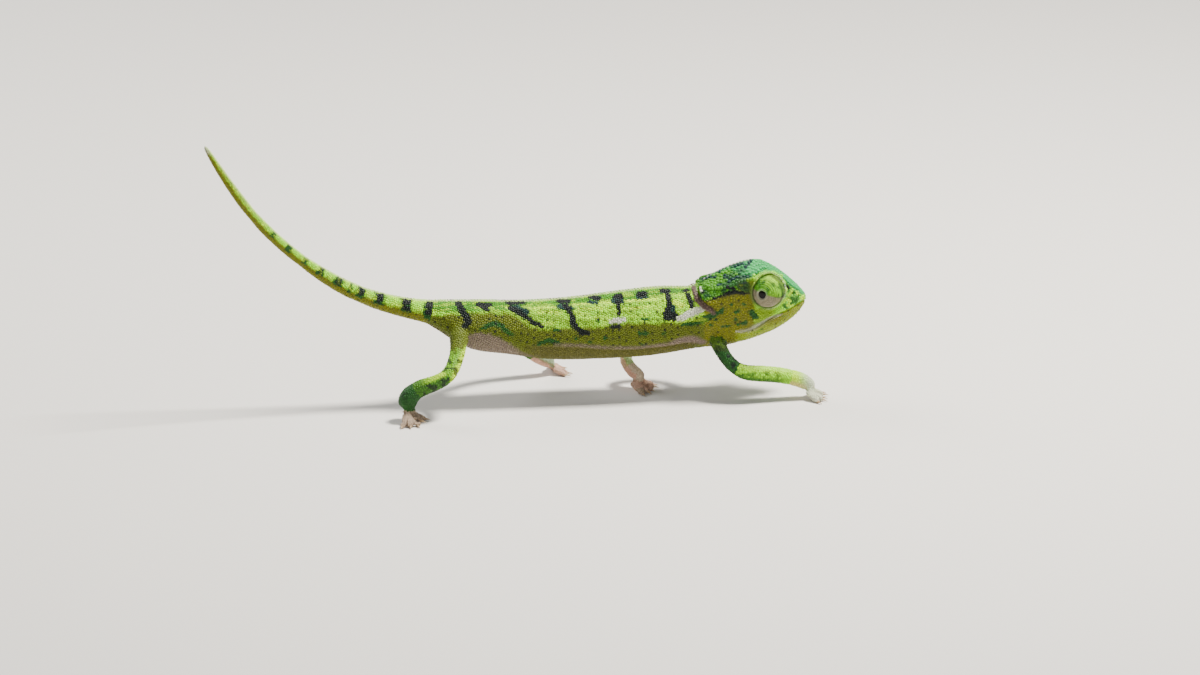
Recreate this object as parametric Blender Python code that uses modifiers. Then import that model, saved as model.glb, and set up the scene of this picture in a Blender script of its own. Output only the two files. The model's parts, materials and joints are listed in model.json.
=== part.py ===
"""Young flap-necked chameleon in mid stride, life size: one named solid for each part of the body.

Metres, +Z up, head towards +X, the animal's left towards +Y, feet on z = 0.
Body, head and tail are one loft, parted by thin cuts; so is each limb from its root to its foot.
Sizes below are in millimetres and are turned into metres where a mesh is made.
"""
import math

import bmesh
import bpy
from mathutils import Matrix, Vector

MM = 0.001
NAME = "chameleon"

# ---- driving dimensions, millimetres ---------------------------------------
GAP = 0.3                # clear space between neighbouring pieces
SNOUT_X = 24.65          # tip of the snout
SHOULDER_X = 13.3        # where the arms leave the chest
HIP_X = -17.0            # where the legs leave the hips
TAIL_ROOT_X = -20.5      # last upright section of the body
TAIL_TIP = (-46.45, 32.45)
EYE_X = 19.75            # middle of the eye turret
EYE_Z = 13.0
EYE_OUT = 2.2            # middle of the turret from the midline
EYE_RADIUS = 2.03
EYE_PUPIL = 0.5          # radius of the round opening in the lids
EYE_HOLLOW = 0.4         # the hollow behind the lids reaches this far past the opening
PUPIL_SINK = 0.22        # middle of the pupil inside the turret's tip
RING = 12                # points round a section of the body
LIMB_RING = 6            # points round a section of a limb
LIMB_STATIONS = 11       # sections along it
LIMB_SWELL = 1.12        # smoothing draws so few points in by this much
TOE_LENGTH = 2.0         # from the palm to the front of the pad
TOE_FAN = math.radians(14.0)     # between neighbouring claws
PAD_WIDTH = {2: 1.35, 3: 1.7}    # of two and of three toes grown together
CLAW_LENGTH = 0.62

COLOURS = {
    "casque": (0.16, 0.55, 0.21),
    "flank": (0.45, 0.75, 0.03),
    "jaw": (0.35, 0.33, 0.04),
    "lid": (0.33, 0.62, 0.05),
    "limb": (0.47, 0.80, 0.10),
    "sole": (0.62, 0.42, 0.30),
    "tail": (0.36, 0.55, 0.06),
    "eye": (0.01, 0.008, 0.006),
}


# ---- small tools -----------------------------------------------------------
def curve(knots):
    """A smooth function through (x, value) knots: cubic pieces with limited slopes."""
    xs = [k[0] for k in knots]
    ys = [k[1] for k in knots]
    runs = [b - a for a, b in zip(xs, xs[1:])]
    slopes = [(b - a) / run for a, b, run in zip(ys, ys[1:], runs)]
    tangents = [slopes[0]]
    for before, after in zip(slopes, slopes[1:]):
        flat = before * after <= 0.0
        tangents.append(0.0 if flat else 2.0 * before * after / (before + after))
    tangents.append(slopes[-1])

    def value(x):
        x = min(max(x, xs[0]), xs[-1])
        i = 0
        while i < len(runs) - 1 and x > xs[i + 1]:
            i += 1
        t = (x - xs[i]) / runs[i]
        rise = (3.0 - 2.0 * t) * t * t
        start = t * (1.0 - t) ** 2 * runs[i] * tangents[i]
        end = -t * t * (1.0 - t) * runs[i] * tangents[i + 1]
        return ys[i] + (ys[i + 1] - ys[i]) * rise + start + end

    return value


def mix(a, b, t):
    return a + (b - a) * t


def smoothstep(low, high, x):
    t = min(max((x - low) / (high - low), 0.0), 1.0)
    return t * t * (3.0 - 2.0 * t)


def spread(first, last, count):
    """Evenly spaced values from first to last."""
    return [mix(first, last, i / (count - 1)) for i in range(count)]


def material(name):
    found = bpy.data.materials.get(name)
    if found:
        return found
    made = bpy.data.materials.new(name)
    made.use_nodes = True
    shader = made.node_tree.nodes["Principled BSDF"]
    shader.inputs["Base Color"].default_value = (*COLOURS[name], 1.0)
    shader.inputs["Roughness"].default_value = 0.12 if name == "eye" else 0.6
    shader.inputs["Metallic"].default_value = 0.0
    return made


def add_object(name, bm, finish):
    """A mesh object in the part's collection, from a bmesh in millimetres."""
    bmesh.ops.scale(bm, vec=(MM, MM, MM), verts=bm.verts)
    mesh = bpy.data.meshes.new(name)
    bm.to_mesh(mesh)
    bm.free()
    mesh.materials.append(material(finish))
    mesh.shade_smooth()
    mesh.set_sharp_from_angle(angle=math.radians(50.0))
    obj = bpy.data.objects.new(name, mesh)
    PARTS.objects.link(obj)
    return obj


def evaluated(obj):
    """The object's mesh with its modifiers applied, in millimetres."""
    bpy.context.view_layer.update()
    graph = bpy.context.evaluated_depsgraph_get()
    bm = bmesh.new()
    bm.from_mesh(obj.evaluated_get(graph).to_mesh())
    bmesh.ops.scale(bm, vec=(1.0 / MM, 1.0 / MM, 1.0 / MM), verts=bm.verts)
    return bm


def remove(obj):
    bpy.data.objects.remove(obj, do_unlink=True)


def loft(rings):
    """Quads from ring to ring, with a flat face over each end."""
    bm = bmesh.new()
    rows = [[bm.verts.new(point) for point in ring] for ring in rings]
    count = len(rings[0])
    for near, far in zip(rows, rows[1:]):
        for i in range(count):
            j = (i + 1) % count
            bm.faces.new((near[i], near[j], far[j], far[i]))
    bm.faces.new(list(reversed(rows[0])))
    bm.faces.new(rows[-1])
    bmesh.ops.recalc_face_normals(bm, faces=bm.faces)
    return bm


def smoothed(bm, finish="flank"):
    """One round of Subdivision Surface on a coarse cage, given back as a bmesh."""
    obj = add_object("cage", bm, finish)
    modifier = obj.modifiers.new("Smooth", "SUBSURF")
    modifier.levels = 1
    modifier.render_levels = 1
    smooth = evaluated(obj)
    remove(obj)
    return smooth


def cut(bm, point, normal):
    """Keep the side that the normal points away from, and close the cut."""
    geometry = bm.verts[:] + bm.edges[:] + bm.faces[:]
    result = bmesh.ops.bisect_plane(bm, geom=geometry, plane_co=point, plane_no=normal,
                                    dist=1e-6, clear_outer=True)
    rim = [e for e in result["geom_cut"] if isinstance(e, bmesh.types.BMEdge)]
    bmesh.ops.holes_fill(bm, edges=rim, sides=0)
    return bm


def between(bm, planes):
    """A copy of the whole, cut by each (point, normal) plane with half a gap to spare."""
    piece = bm.copy()
    for point, normal in planes:
        outward = Vector(normal).normalized()
        cut(piece, Vector(point) - outward * GAP * 0.5, outward)
    return piece


def boolean(bm, tool, operation, finish="flank"):
    """Exact Boolean of two bmeshes; both are used up."""
    base = add_object("base", bm, finish)
    other = add_object("tool", tool, finish)
    modifier = base.modifiers.new("Boolean", "BOOLEAN")
    modifier.operation = operation
    modifier.solver = "EXACT"
    modifier.object = other
    result = evaluated(base)
    remove(base)
    remove(other)
    bmesh.ops.remove_doubles(result, verts=result.verts, dist=0.002)
    bmesh.ops.dissolve_degenerate(result, edges=result.edges, dist=0.002)
    return result


def grown(bm, amount):
    """A copy swollen along its normals, to cut its neighbours with."""
    copy = bm.copy()
    copy.normal_update()
    moves = [(v, v.normal.copy()) for v in copy.verts]
    for vert, normal in moves:
        vert.co += normal * amount
    return copy


def ball(centre, radius, segments, rings):
    bm = bmesh.new()
    bmesh.ops.create_uvsphere(bm, u_segments=segments, v_segments=rings, radius=radius)
    bmesh.ops.translate(bm, vec=centre, verts=bm.verts)
    return bm


# ---- the body's long curves: millimetres against x -------------------------
BACK_Z = curve([(-22.5, 12.95), (-20.4, 12.8), (-16.4, 12.72), (-13.2, 12.62), (-9.5, 12.4),
                (-3.5, 12.62), (1.3, 13.12), (5.6, 13.52), (8.2, 13.68), (11.2, 13.25),
                (11.9, 13.9), (14.2, 15.25), (17.5, 16.4), (18.7, 16.5), (20.9, 15.42),
                (23.0, 13.66), (24.2, 12.45), (24.5, 12.0)])
BELLY_Z = curve([(-22.5, 10.35), (-19.9, 9.75), (-18.8, 8.9), (-17.6, 7.4), (-16.1, 6.3),
                 (-11.4, 5.75), (-9.5, 5.35), (-6.7, 4.8), (-3.0, 4.6), (3.8, 4.6), (8.2, 4.95),
                 (12.0, 5.42), (15.0, 5.6), (17.0, 6.0), (19.2, 6.5), (20.9, 7.05), (22.4, 8.0),
                 (23.4, 8.85), (24.2, 9.85), (24.5, 10.5)])
BODY_HALF_WIDTH = curve([(-22.5, 1.35), (-19.5, 1.9), (-16.5, 2.75), (-11.0, 3.1), (-4.0, 3.3),
                         (3.0, 3.3), (8.0, 3.05), (11.0, 2.75), (14.0, 2.7)])

# Rails of the head, from the crown down to the throat: (half width, height) against x.
HEAD_RAILS = [
    (curve([(11.0, 1.0), (12.6, 1.25), (14.5, 1.6), (18.0, 1.5), (21.0, 1.15), (23.5, 0.75),
            (24.5, 0.4)]),
     curve([(11.0, 13.1), (12.6, 13.9), (14.5, 14.8), (17.5, 15.8), (18.8, 15.9),
            (20.9, 15.1), (23.0, 13.5), (24.5, 12.0)])),
    (curve([(11.0, 2.1), (12.6, 2.6), (15.0, 3.05), (18.0, 2.95), (20.5, 2.45), (22.5, 1.7),
            (24.0, 1.1), (24.5, 0.62)]),
     curve([(11.0, 12.2), (12.6, 12.75), (15.0, 13.8), (17.0, 14.65), (18.8, 15.0),
            (20.6, 14.55), (22.6, 13.15), (24.0, 12.1), (24.5, 11.75)])),
    (curve([(11.0, 2.6), (12.6, 2.9), (15.0, 3.0), (18.0, 2.45), (20.0, 2.1), (22.5, 1.65),
            (24.0, 1.2), (24.5, 0.7)]),
     curve([(11.0, 10.4), (12.6, 11.2), (15.0, 11.9), (17.5, 12.5), (20.0, 12.6), (22.5, 12.0),
            (24.5, 11.4)])),
    (curve([(11.0, 2.5), (13.5, 3.0), (16.5, 3.3), (18.5, 3.0), (20.5, 2.5), (22.5, 1.9),
            (24.0, 1.2), (24.5, 0.65)]),
     curve([(11.0, 8.2), (13.5, 8.6), (16.5, 9.0), (18.5, 9.7), (20.5, 10.4), (22.5, 10.85),
            (24.5, 11.15)])),
    (curve([(11.0, 1.55), (13.5, 2.0), (16.5, 2.35), (18.5, 2.1), (20.5, 1.7), (22.5, 1.2),
            (24.0, 0.7), (24.5, 0.4)]),
     curve([(11.0, 6.1), (13.5, 6.2), (16.5, 6.7), (18.5, 7.3), (20.5, 8.05), (22.5, 9.0),
            (23.6, 9.85), (24.5, 10.75)])),
]
CAGE_SWELL = 1.035       # a Subdivision Surface draws its cage in by this much

# The tail's middle line in the upright plane, then its half height and half width.
TAIL_LINE = [(-22.0, 11.6), (-24.3, 12.13), (-28.9, 13.86), (-33.3, 16.55), (-38.0, 20.5),
             (-41.45, 24.4), (-43.9, 28.1), (-45.5, 30.75), TAIL_TIP]
TAIL_HALF_HEIGHT = curve([(0.0, 1.3), (0.12, 1.12), (0.28, 0.98), (0.45, 0.74), (0.72, 0.62),
                          (0.95, 0.42), (1.0, 0.28)])
TAIL_HALF_WIDTH = curve([(0.0, 1.3), (0.12, 1.05), (0.28, 0.86), (0.45, 0.66), (0.72, 0.54),
                         (0.95, 0.38), (1.0, 0.26)])


def trunk_rail(x, level):
    """Half width and height of one of the five side rails of the trunk."""
    angle = math.pi / 2 - (level + 1) * math.pi / 6
    top = BACK_Z(x)
    bottom = BELLY_Z(x)
    middle = mix(bottom, top, 0.47)
    reach = top - middle if angle > 0.0 else middle - bottom
    sharp = 1.12 if angle > 0.0 else 0.95
    half = BODY_HALF_WIDTH(x) * math.cos(angle) ** sharp
    return half, middle + reach * math.sin(angle)


def body_ring(x):
    """A closed upright section: the crown, five rails down the right, the belly, five back up."""
    head = smoothstep(9.6, 12.8, x)
    side = []
    for level, (half, height) in enumerate(HEAD_RAILS):
        trunk_half, trunk_height = trunk_rail(x, level)
        side.append((mix(trunk_half, half(x), head), mix(trunk_height, height(x), head)))
    top = Vector((x, 0.0, BACK_Z(x)))
    bottom = Vector((x, 0.0, BELLY_Z(x)))
    right = [Vector((x, -half * CAGE_SWELL, height)) for half, height in side]
    left = [Vector((x, half * CAGE_SWELL, height)) for half, height in reversed(side)]
    return [top, *right, bottom, *left]


def smooth_path(points, count):
    """Points on a smooth line through the given ones (Catmull-Rom), by equal steps of knots."""
    ends = [points[0] * 2 - points[1], *points, points[-1] * 2 - points[-2]]
    path = []
    for t in spread(0.0, len(points) - 1.0, count):
        i = min(int(t), len(points) - 2)
        u = t - i
        a, b, c, d = ends[i:i + 4]
        bend = (a * 2 - b * 5 + c * 4 - d) * u * u
        path.append((b * 2 + (c - a) * u + bend + (b * 3 - a - c * 3 + d) * u ** 3) / 2)
    return path


def even_path(points, count):
    """The same smooth line, by equal lengths."""
    fine = smooth_path(points, 200)
    lengths = [0.0]
    for a, b in zip(fine, fine[1:]):
        lengths.append(lengths[-1] + (b - a).length)
    path = []
    for target in spread(0.0, lengths[-1], count):
        i = 0
        while i < len(fine) - 2 and lengths[i + 1] < target:
            i += 1
        path.append(fine[i].lerp(fine[i + 1], (target - lengths[i]) / (lengths[i + 1] - lengths[i])))
    return path


def path_tangents(path):
    tangents = [(b - a).normalized() for a, b in zip(path, path[2:])]
    first = (path[1] - path[0]).normalized()
    last = (path[-1] - path[-2]).normalized()
    return [first, *tangents, last]


def tail_rings(count):
    """Sections of the tail, each square to its curved middle line."""
    path = even_path([Vector((x, 0.0, z)) for x, z in TAIL_LINE], count)
    rings = []
    for step, (centre, tangent) in enumerate(zip(path, path_tangents(path))):
        share = step / (count - 1)
        up = Vector((tangent.z, 0.0, -tangent.x))
        half_height = TAIL_HALF_HEIGHT(share) * CAGE_SWELL
        half_width = TAIL_HALF_WIDTH(share) * CAGE_SWELL
        ring = []
        for i in range(RING):
            angle = math.pi / 2 - i * math.tau / RING
            side = Vector((0.0, -math.cos(angle) * half_width, 0.0))
            ring.append(centre + up * math.sin(angle) * half_height + side)
        rings.append(ring)
    return rings


def whole_body():
    """Snout to tail tip in one smooth skin."""
    head = [24.5, 24.0, 23.2, 22.0, 20.8, 19.6, 18.4, 17.2, 16.0, 14.8, 13.6, 12.5, 11.6]
    trunk = spread(10.3, TAIL_ROOT_X, 13)
    tail = tail_rings(11)
    snout = body_ring(head[0])
    middle = sum(snout, Vector()) / RING
    tip = [middle.lerp(p, 0.55) + Vector((SNOUT_X - head[0], 0.0, 0.0)) for p in snout]
    end_centre = sum(tail[-1], Vector()) / RING
    end_run = path_tangents(even_path([Vector((x, 0.0, z)) for x, z in TAIL_LINE], 11))[-1]
    tail_end = [end_centre.lerp(p, 0.5) + end_run * 0.2 for p in tail[-1]]
    return smoothed(loft([tip, *[body_ring(x) for x in head + trunk], *tail, tail_end]))


# ---- cuts through the body -------------------------------------------------
NECK_CUT = ((14.35, 0.0, 10.0), (-0.853, 0.0, -0.522))     # from the casque's rear to the throat
CHEST_CUT = ((10.2, 0.0, 9.2), (-1.0, 0.0, 0.10))          # across the chest before the shoulders
MOUTH_CUT = ((24.65, 0.0, 11.0), (0.338, 0.0, -0.941))     # along the lips
RUMP_CUT = ((-20.3, 0.0, 11.0), (-0.97, 0.0, 0.24))        # behind the hips


def flipped(plane):
    point, normal = plane
    return point, (-normal[0], -normal[1], -normal[2])


def tail_cut(share):
    """A plane square to the tail at this share of its length."""
    path = even_path([Vector((x, 0.0, z)) for x, z in TAIL_LINE], 201)
    i = round(share * 200)
    return tuple(path[i]), tuple(path_tangents(path)[i])


def eye_axis(side):
    """The right eye looks out and back, the left one forward and up."""
    if side < 0:
        return Vector((-0.53, -0.845, 0.02)).normalized()
    return Vector((0.3, 0.93, 0.12)).normalized()


def eye_centre(side):
    return Vector((EYE_X, side * EYE_OUT, EYE_Z))


def turned_to(axis, centre, bm):
    """Turn a shape made along +Z to the axis, and carry it to its centre."""
    turn = axis.to_track_quat("Z", "Y").to_matrix().to_4x4()
    bmesh.ops.transform(bm, matrix=Matrix.Translation(centre) @ turn, verts=bm.verts)
    return bm


def turret(side):
    """The cone of fused lids: a ball drawn out a little to a blunt tip."""
    bm = ball((0.0, 0.0, 0.0), EYE_RADIUS, 16, 10)
    for vert in bm.verts:
        height = vert.co.z / EYE_RADIUS
        squeeze = 1.0 - 0.16 * smoothstep(0.35, 1.0, height)
        vert.co.x *= squeeze
        vert.co.y *= squeeze
    turned_to(eye_axis(side), eye_centre(side), bm)
    hollow = ball(pupil_centre(side), EYE_PUPIL + EYE_HOLLOW, 10, 6)
    return boolean(bm, hollow, "DIFFERENCE", "lid")


def pupil_centre(side):
    return eye_centre(side) + eye_axis(side) * (EYE_RADIUS - PUPIL_SINK)


def eyeball(side):
    """What shows of the eye: a small dome in the opening."""
    return ball(pupil_centre(side) - eye_axis(side) * 0.1, EYE_PUPIL + 0.1, 10, 7)


def make_body(nodes):
    """Head, jaw, neck, trunk and four lengths of tail, parted from one whole."""
    whole = whole_body()
    upper = between(whole, [NECK_CUT, MOUTH_CUT])
    for side in (-1, 1):
        upper = boolean(upper, ball(eye_centre(side), EYE_RADIUS + GAP, 16, 10), "DIFFERENCE")
    nodes["head"] = (upper, "casque")
    nodes["lower_jaw"] = (between(whole, [NECK_CUT, flipped(MOUTH_CUT)]), "jaw")
    nodes["neck"] = (between(whole, [flipped(NECK_CUT), CHEST_CUT]), "flank")
    nodes["trunk"] = (between(whole, [flipped(CHEST_CUT), RUMP_CUT]), "flank")
    cuts = [RUMP_CUT, tail_cut(0.2), tail_cut(0.45), tail_cut(0.7)]
    lengths = list(zip(cuts, cuts[1:])) + [(cuts[-1], None)]
    for number, (start, end) in enumerate(lengths, start=1):
        planes = [flipped(start)] + ([end] if end else [])
        nodes[f"tail_{number}"] = (between(whole, planes), "tail")
    return whole


def make_eyes(nodes):
    for side, word in ((-1, "right"), (1, "left")):
        nodes[f"eyelids_{word}"] = (turret(side), "lid")
        nodes[f"eye_{word}"] = (eyeball(side), "eye")


# ---- limbs -----------------------------------------------------------------
def limb_loft(stops, count):
    """A smooth limb through stops of (x, y, z, radius)."""
    places = [Vector(stop[:3]) for stop in stops]
    path = even_path(places, count)
    lengths = [0.0]
    for before, after in zip(places, places[1:]):
        lengths.append(lengths[-1] + (after - before).length)
    thickness = curve([(length / lengths[-1], stop[3]) for length, stop in zip(lengths, stops)])
    rings = []
    side = Vector((0.0, 1.0, 0.0))
    for step, (centre, tangent) in enumerate(zip(path, path_tangents(path))):
        side = (side - tangent * side.dot(tangent)).normalized()
        other = tangent.cross(side)
        radius = thickness(step / (count - 1)) * LIMB_SWELL
        ring = []
        for i in range(LIMB_RING):
            angle = i * math.tau / LIMB_RING
            ring.append(centre + side * math.cos(angle) * radius
                        + other * math.sin(angle) * radius)
        rings.append(ring)
    return smoothed(loft(rings))


def bend_plane(stops, bend):
    """The plane that halves the bend at a stop, facing down the limb."""
    before, corner, after = [Vector(stop[:3]) for stop in stops[bend - 1:bend + 2]]
    first = (corner - before).normalized()
    second = (after - corner).normalized()
    return tuple(corner), tuple((first + second).normalized())


def flat_loft(root, along, stations, sides):
    """A low pad or claw: rings of (run, half width, bottom, top) along a level heading."""
    across = Vector((-along.y, along.x, 0.0))
    rings = []
    for run, half, bottom, top in stations:
        centre = Vector(root) + along * run
        ring = []
        for i in range(sides):
            angle = (i + 0.5) * math.tau / sides
            height = mix(bottom, top, 0.5 + 0.5 * math.sin(angle))
            ring.append(centre + across * math.cos(angle) * half + Vector((0.0, 0.0, height)))
        rings.append(ring)
    return loft(rings)


def toe_bundle(palm, heading, count):
    """Toes grown together as one thick pad, flat on the floor, with a claw for each."""
    base = Vector(heading).normalized()
    across = Vector((-base.y, base.x, 0.0))
    half = PAD_WIDTH[count] / 2
    pad = [(-0.1, half * 0.65, 0.75, 1.4), (0.5, half * 0.9, 0.3, 1.25),
           (0.55 * TOE_LENGTH, half, -0.06, 1.02), (0.85 * TOE_LENGTH, half * 0.98, -0.06, 0.84),
           (TOE_LENGTH, half * 0.74, 0.02, 0.56)]
    bundle = flat_loft(palm, base, pad, 8)
    for i in range(count):
        offset = i - (count - 1) / 2
        turned = Matrix.Rotation(offset * TOE_FAN, 3, "Z") @ base
        root = Vector(palm) + across * offset * half * 2.0 / (count + 0.35)
        start = TOE_LENGTH - 0.55 - 0.15 * abs(offset)
        claw = [(start, 0.27, 0.02, 0.68), (start + 0.62, 0.24, 0.04, 0.58),
                (start + 0.62 + CLAW_LENGTH, 0.05, 0.02, 0.16)]
        bundle = boolean(bundle, flat_loft(root, turned, claw, 5), "UNION")
    return cut(bundle, Vector((0.0, 0.0, 0.0)), Vector((0.0, 0.0, -1.0)))


# Each limb: places from root to palm with the radius there, the two of them where it bends
# and is parted, and its two toe bundles as (place of the root, heading, number of toes).
# Forefeet have three toes inside and two outside, hind feet the other way round.
LIMBS = {
    "arm_right": {
        "path": [(SHOULDER_X, -1.6, 8.0, 1.15), (14.05, -3.1, 6.1, 0.95), (14.75, -3.7, 5.05, 0.88),
                 (15.75, -4.2, 3.95, 0.98), (17.0, -4.3, 3.52, 1.08), (18.8, -4.1, 3.35, 1.1),
                 (20.75, -3.9, 3.05, 1.08), (22.3, -3.8, 2.68, 1.06), (23.9, -3.8, 2.2, 1.1),
                 (25.25, -4.0, 1.1, 0.76)],
        "bends": (3, 7),
        "names": ("upper_arm_right", "forearm_right", "hand_right"),
        "toes": {"inner": ((24.3, -3.35, 0.0), (0.98, -0.08, 0.0), 3),
                 "outer": ((24.2, -4.5, 0.0), (0.74, -0.67, 0.0), 2)},
    },
    "arm_left": {
        "path": [(SHOULDER_X, 1.6, 8.0, 1.15), (10.4, 4.4, 6.6, 0.95), (6.2, 5.3, 5.3, 0.9),
                 (3.6, 4.2, 4.3, 0.86), (3.3, 3.3, 3.5, 0.9), (3.7, 2.5, 2.5, 1.0),
                 (4.7, 1.8, 1.8, 0.98), (5.6, 1.5, 1.3, 0.8)],
        "bends": (2, 5),
        "names": ("upper_arm_left", "forearm_left", "hand_left"),
        "toes": {"inner": ((4.0, 1.1, 0.0), (0.8, -0.6, 0.0), 3),
                 "outer": ((4.8, 2.4, 0.0), (0.98, -0.1, 0.0), 2)},
    },
    "leg_right": {
        "path": [(HIP_X, -1.4, 9.9, 1.45), (-17.3, -3.7, 7.65, 1.05), (-18.0, -5.3, 6.2, 1.0),
                 (-18.95, -6.5, 5.1, 1.02), (-20.95, -6.6, 4.35, 1.08), (-22.6, -6.4, 3.75, 1.24),
                 (-23.7, -6.5, 2.7, 1.44), (-23.8, -6.6, 1.35, 1.18)],
        "bends": (3, 5),
        "names": ("thigh_right", "shank_right", "foot_right"),
        "toes": {"inner": ((-23.5, -6.1, 0.0), (0.88, -0.47, 0.0), 2),
                 "outer": ((-23.8, -7.3, 0.0), (0.1, -1.0, 0.0), 3)},
    },
    "leg_left": {
        "path": [(HIP_X, 1.4, 9.9, 1.45), (-14.3, 4.4, 8.6, 1.1), (-11.6, 6.8, 6.9, 1.0),
                 (-9.2, 7.7, 4.7, 0.98), (-7.2, 8.1, 2.9, 1.0), (-5.6, 8.5, 1.9, 1.02),
                 (-4.4, 8.8, 1.2, 0.86)],
        "bends": (2, 4),
        "names": ("thigh_left", "shank_left", "foot_left"),
        "toes": {"inner": ((-4.9, 8.6, 0.0), (0.95, -0.31, 0.0), 2),
                 "outer": ((-5.1, 9.4, 0.0), (0.62, 0.78, 0.0), 3)},
    },
}


def make_limb(nodes, limb, body):
    """Root, middle and palm of a limb, and its two bundles of toes."""
    whole = limb_loft(limb["path"], LIMB_STATIONS)
    elbow, wrist = [bend_plane(limb["path"], bend) for bend in limb["bends"]]
    root, middle, palm = limb["names"]
    top = between(whole, [elbow])
    nodes[root] = (boolean(top, grown(body, GAP), "DIFFERENCE"), "limb")
    nodes[middle] = (between(whole, [flipped(elbow), wrist]), "limb")
    palm_bm = between(whole, [flipped(elbow), flipped(wrist)])
    nodes[palm] = (palm_bm, "sole")
    neighbours = [palm_bm]
    for word, (place, heading, count) in limb["toes"].items():
        bundle = toe_bundle(place, heading, count)
        for neighbour in neighbours:
            bundle = boolean(bundle, grown(neighbour, GAP), "DIFFERENCE")
        neighbours.append(bundle)
        nodes[f"{palm}_{word}_toes"] = (bundle, "sole")


# ---- the whole animal ------------------------------------------------------
def centre_on_floor(objects):
    """Put the middle of the whole box on the origin, with the soles on the floor."""
    points = [obj.matrix_world @ vert.co for obj in objects for vert in obj.data.vertices]
    middle_x = (min(p.x for p in points) + max(p.x for p in points)) / 2
    middle_y = (min(p.y for p in points) + max(p.y for p in points)) / 2
    lowest = min(p.z for p in points)
    for obj in objects:
        obj.location = (-middle_x, -middle_y, -lowest)


for old in list(bpy.data.objects):
    bpy.data.objects.remove(old, do_unlink=True)
PARTS = bpy.data.collections.new(NAME)
bpy.context.scene.collection.children.link(PARTS)

solids = {}
body_whole = make_body(solids)
make_eyes(solids)
for one_limb in LIMBS.values():
    make_limb(solids, one_limb, body_whole)
pieces = [add_object(name, bm, finish) for name, (bm, finish) in solids.items()]
centre_on_floor(pieces)
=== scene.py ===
# %% [markdown]
# # A young flap-necked chameleon
#
# This lesson dresses a packed, life-size model of a walking chameleon. The solids already hold
# its true size and pose. Here they get one unbroken skin with its folds, lids and lips, a coat
# of small bead-like scales, glossy eyes, horn claws, and the green, barred colours of the species.
# Distances are worked out in millimetres, because the whole animal is only 80 mm long, and are
# turned into metres where a mesh is written.

import json
import math

import bmesh
import bpy
import numpy as np
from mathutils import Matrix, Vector, noise
from mathutils.bvhtree import BVHTree
from mathutils.kdtree import KDTree

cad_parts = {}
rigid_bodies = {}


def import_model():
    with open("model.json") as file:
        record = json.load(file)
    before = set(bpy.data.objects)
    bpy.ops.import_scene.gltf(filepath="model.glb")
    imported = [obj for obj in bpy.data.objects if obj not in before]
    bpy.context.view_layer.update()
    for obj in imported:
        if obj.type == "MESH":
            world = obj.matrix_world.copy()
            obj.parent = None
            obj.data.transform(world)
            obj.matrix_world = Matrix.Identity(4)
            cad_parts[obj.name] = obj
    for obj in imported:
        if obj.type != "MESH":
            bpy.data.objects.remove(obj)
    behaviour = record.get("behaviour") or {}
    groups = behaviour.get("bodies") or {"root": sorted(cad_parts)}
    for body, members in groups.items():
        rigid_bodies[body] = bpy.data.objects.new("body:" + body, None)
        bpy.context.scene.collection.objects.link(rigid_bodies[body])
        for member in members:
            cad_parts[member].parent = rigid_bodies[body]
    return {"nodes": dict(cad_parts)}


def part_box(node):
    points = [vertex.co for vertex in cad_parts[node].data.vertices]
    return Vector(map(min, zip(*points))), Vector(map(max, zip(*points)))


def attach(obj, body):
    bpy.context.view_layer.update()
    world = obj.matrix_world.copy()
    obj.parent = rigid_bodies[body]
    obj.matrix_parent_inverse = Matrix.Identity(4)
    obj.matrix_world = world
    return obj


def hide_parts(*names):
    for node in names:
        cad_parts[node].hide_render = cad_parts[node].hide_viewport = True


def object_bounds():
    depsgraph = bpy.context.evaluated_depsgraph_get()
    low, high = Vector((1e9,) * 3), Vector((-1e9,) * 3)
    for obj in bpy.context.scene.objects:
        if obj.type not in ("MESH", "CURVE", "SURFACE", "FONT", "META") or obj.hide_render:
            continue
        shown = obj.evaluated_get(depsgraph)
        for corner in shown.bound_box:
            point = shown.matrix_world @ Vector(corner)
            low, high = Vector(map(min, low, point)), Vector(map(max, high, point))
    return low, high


for leftover in list(bpy.data.objects):
    bpy.data.objects.remove(leftover, do_unlink=True)
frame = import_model()
cad_bounds = [list(corner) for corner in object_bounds()]
MM = 0.001
NODES = frame["nodes"]
print("CAD box, mm:", [[round(v / MM, 2) for v in corner] for corner in cad_bounds])

# %% [markdown]
# ## Where things are
#
# Every place is read from the solids' own boxes: the snout is the front of the head, the floor is
# the bottom of the whole box, and the midline is the middle of the trunk. A place on the body is
# then "so far behind the snout" and "so far above the floor", as a naturalist would measure it.

# %% Landmarks
trunk_low, trunk_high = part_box("trunk")
_, head_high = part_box("head")
SNOUT = head_high.x / MM
MIDLINE = (trunk_low.y + trunk_high.y) / 2 / MM
FLOOR = cad_bounds[0][2] / MM


def behind_snout(distance):
    """The x, in millimetres, of a place this far behind the tip of the snout."""
    return SNOUT - distance


print(f"snout {SNOUT:.2f} mm, midline {MIDLINE:.2f} mm")


def deselect():
    if bpy.context.object and bpy.context.object.mode != "OBJECT":
        bpy.ops.object.mode_set(mode="OBJECT")
    bpy.ops.object.select_all(action="DESELECT")


def select_only(objects):
    """Select just these objects, the first of them the active one."""
    deselect()
    for obj in objects:
        obj.select_set(True)
    bpy.context.view_layer.objects.active = objects[0]


def link(name, mesh):
    obj = bpy.data.objects.new(name, mesh)
    bpy.context.scene.collection.objects.link(obj)
    return obj


def fetch(items, key, width, kind=np.float32):
    """One property of all of a mesh's items, as rows of so many numbers."""
    values = np.empty(len(items) * width, kind)
    items.foreach_get(key, values)
    return values.reshape(-1, width)


def places(obj):
    """A mesh's points as an array, in millimetres."""
    return fetch(obj.data.vertices, "co", 3).astype(float) / MM


def normals(obj):
    return fetch(obj.data.vertex_normals, "vector", 3).astype(float)


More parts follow.
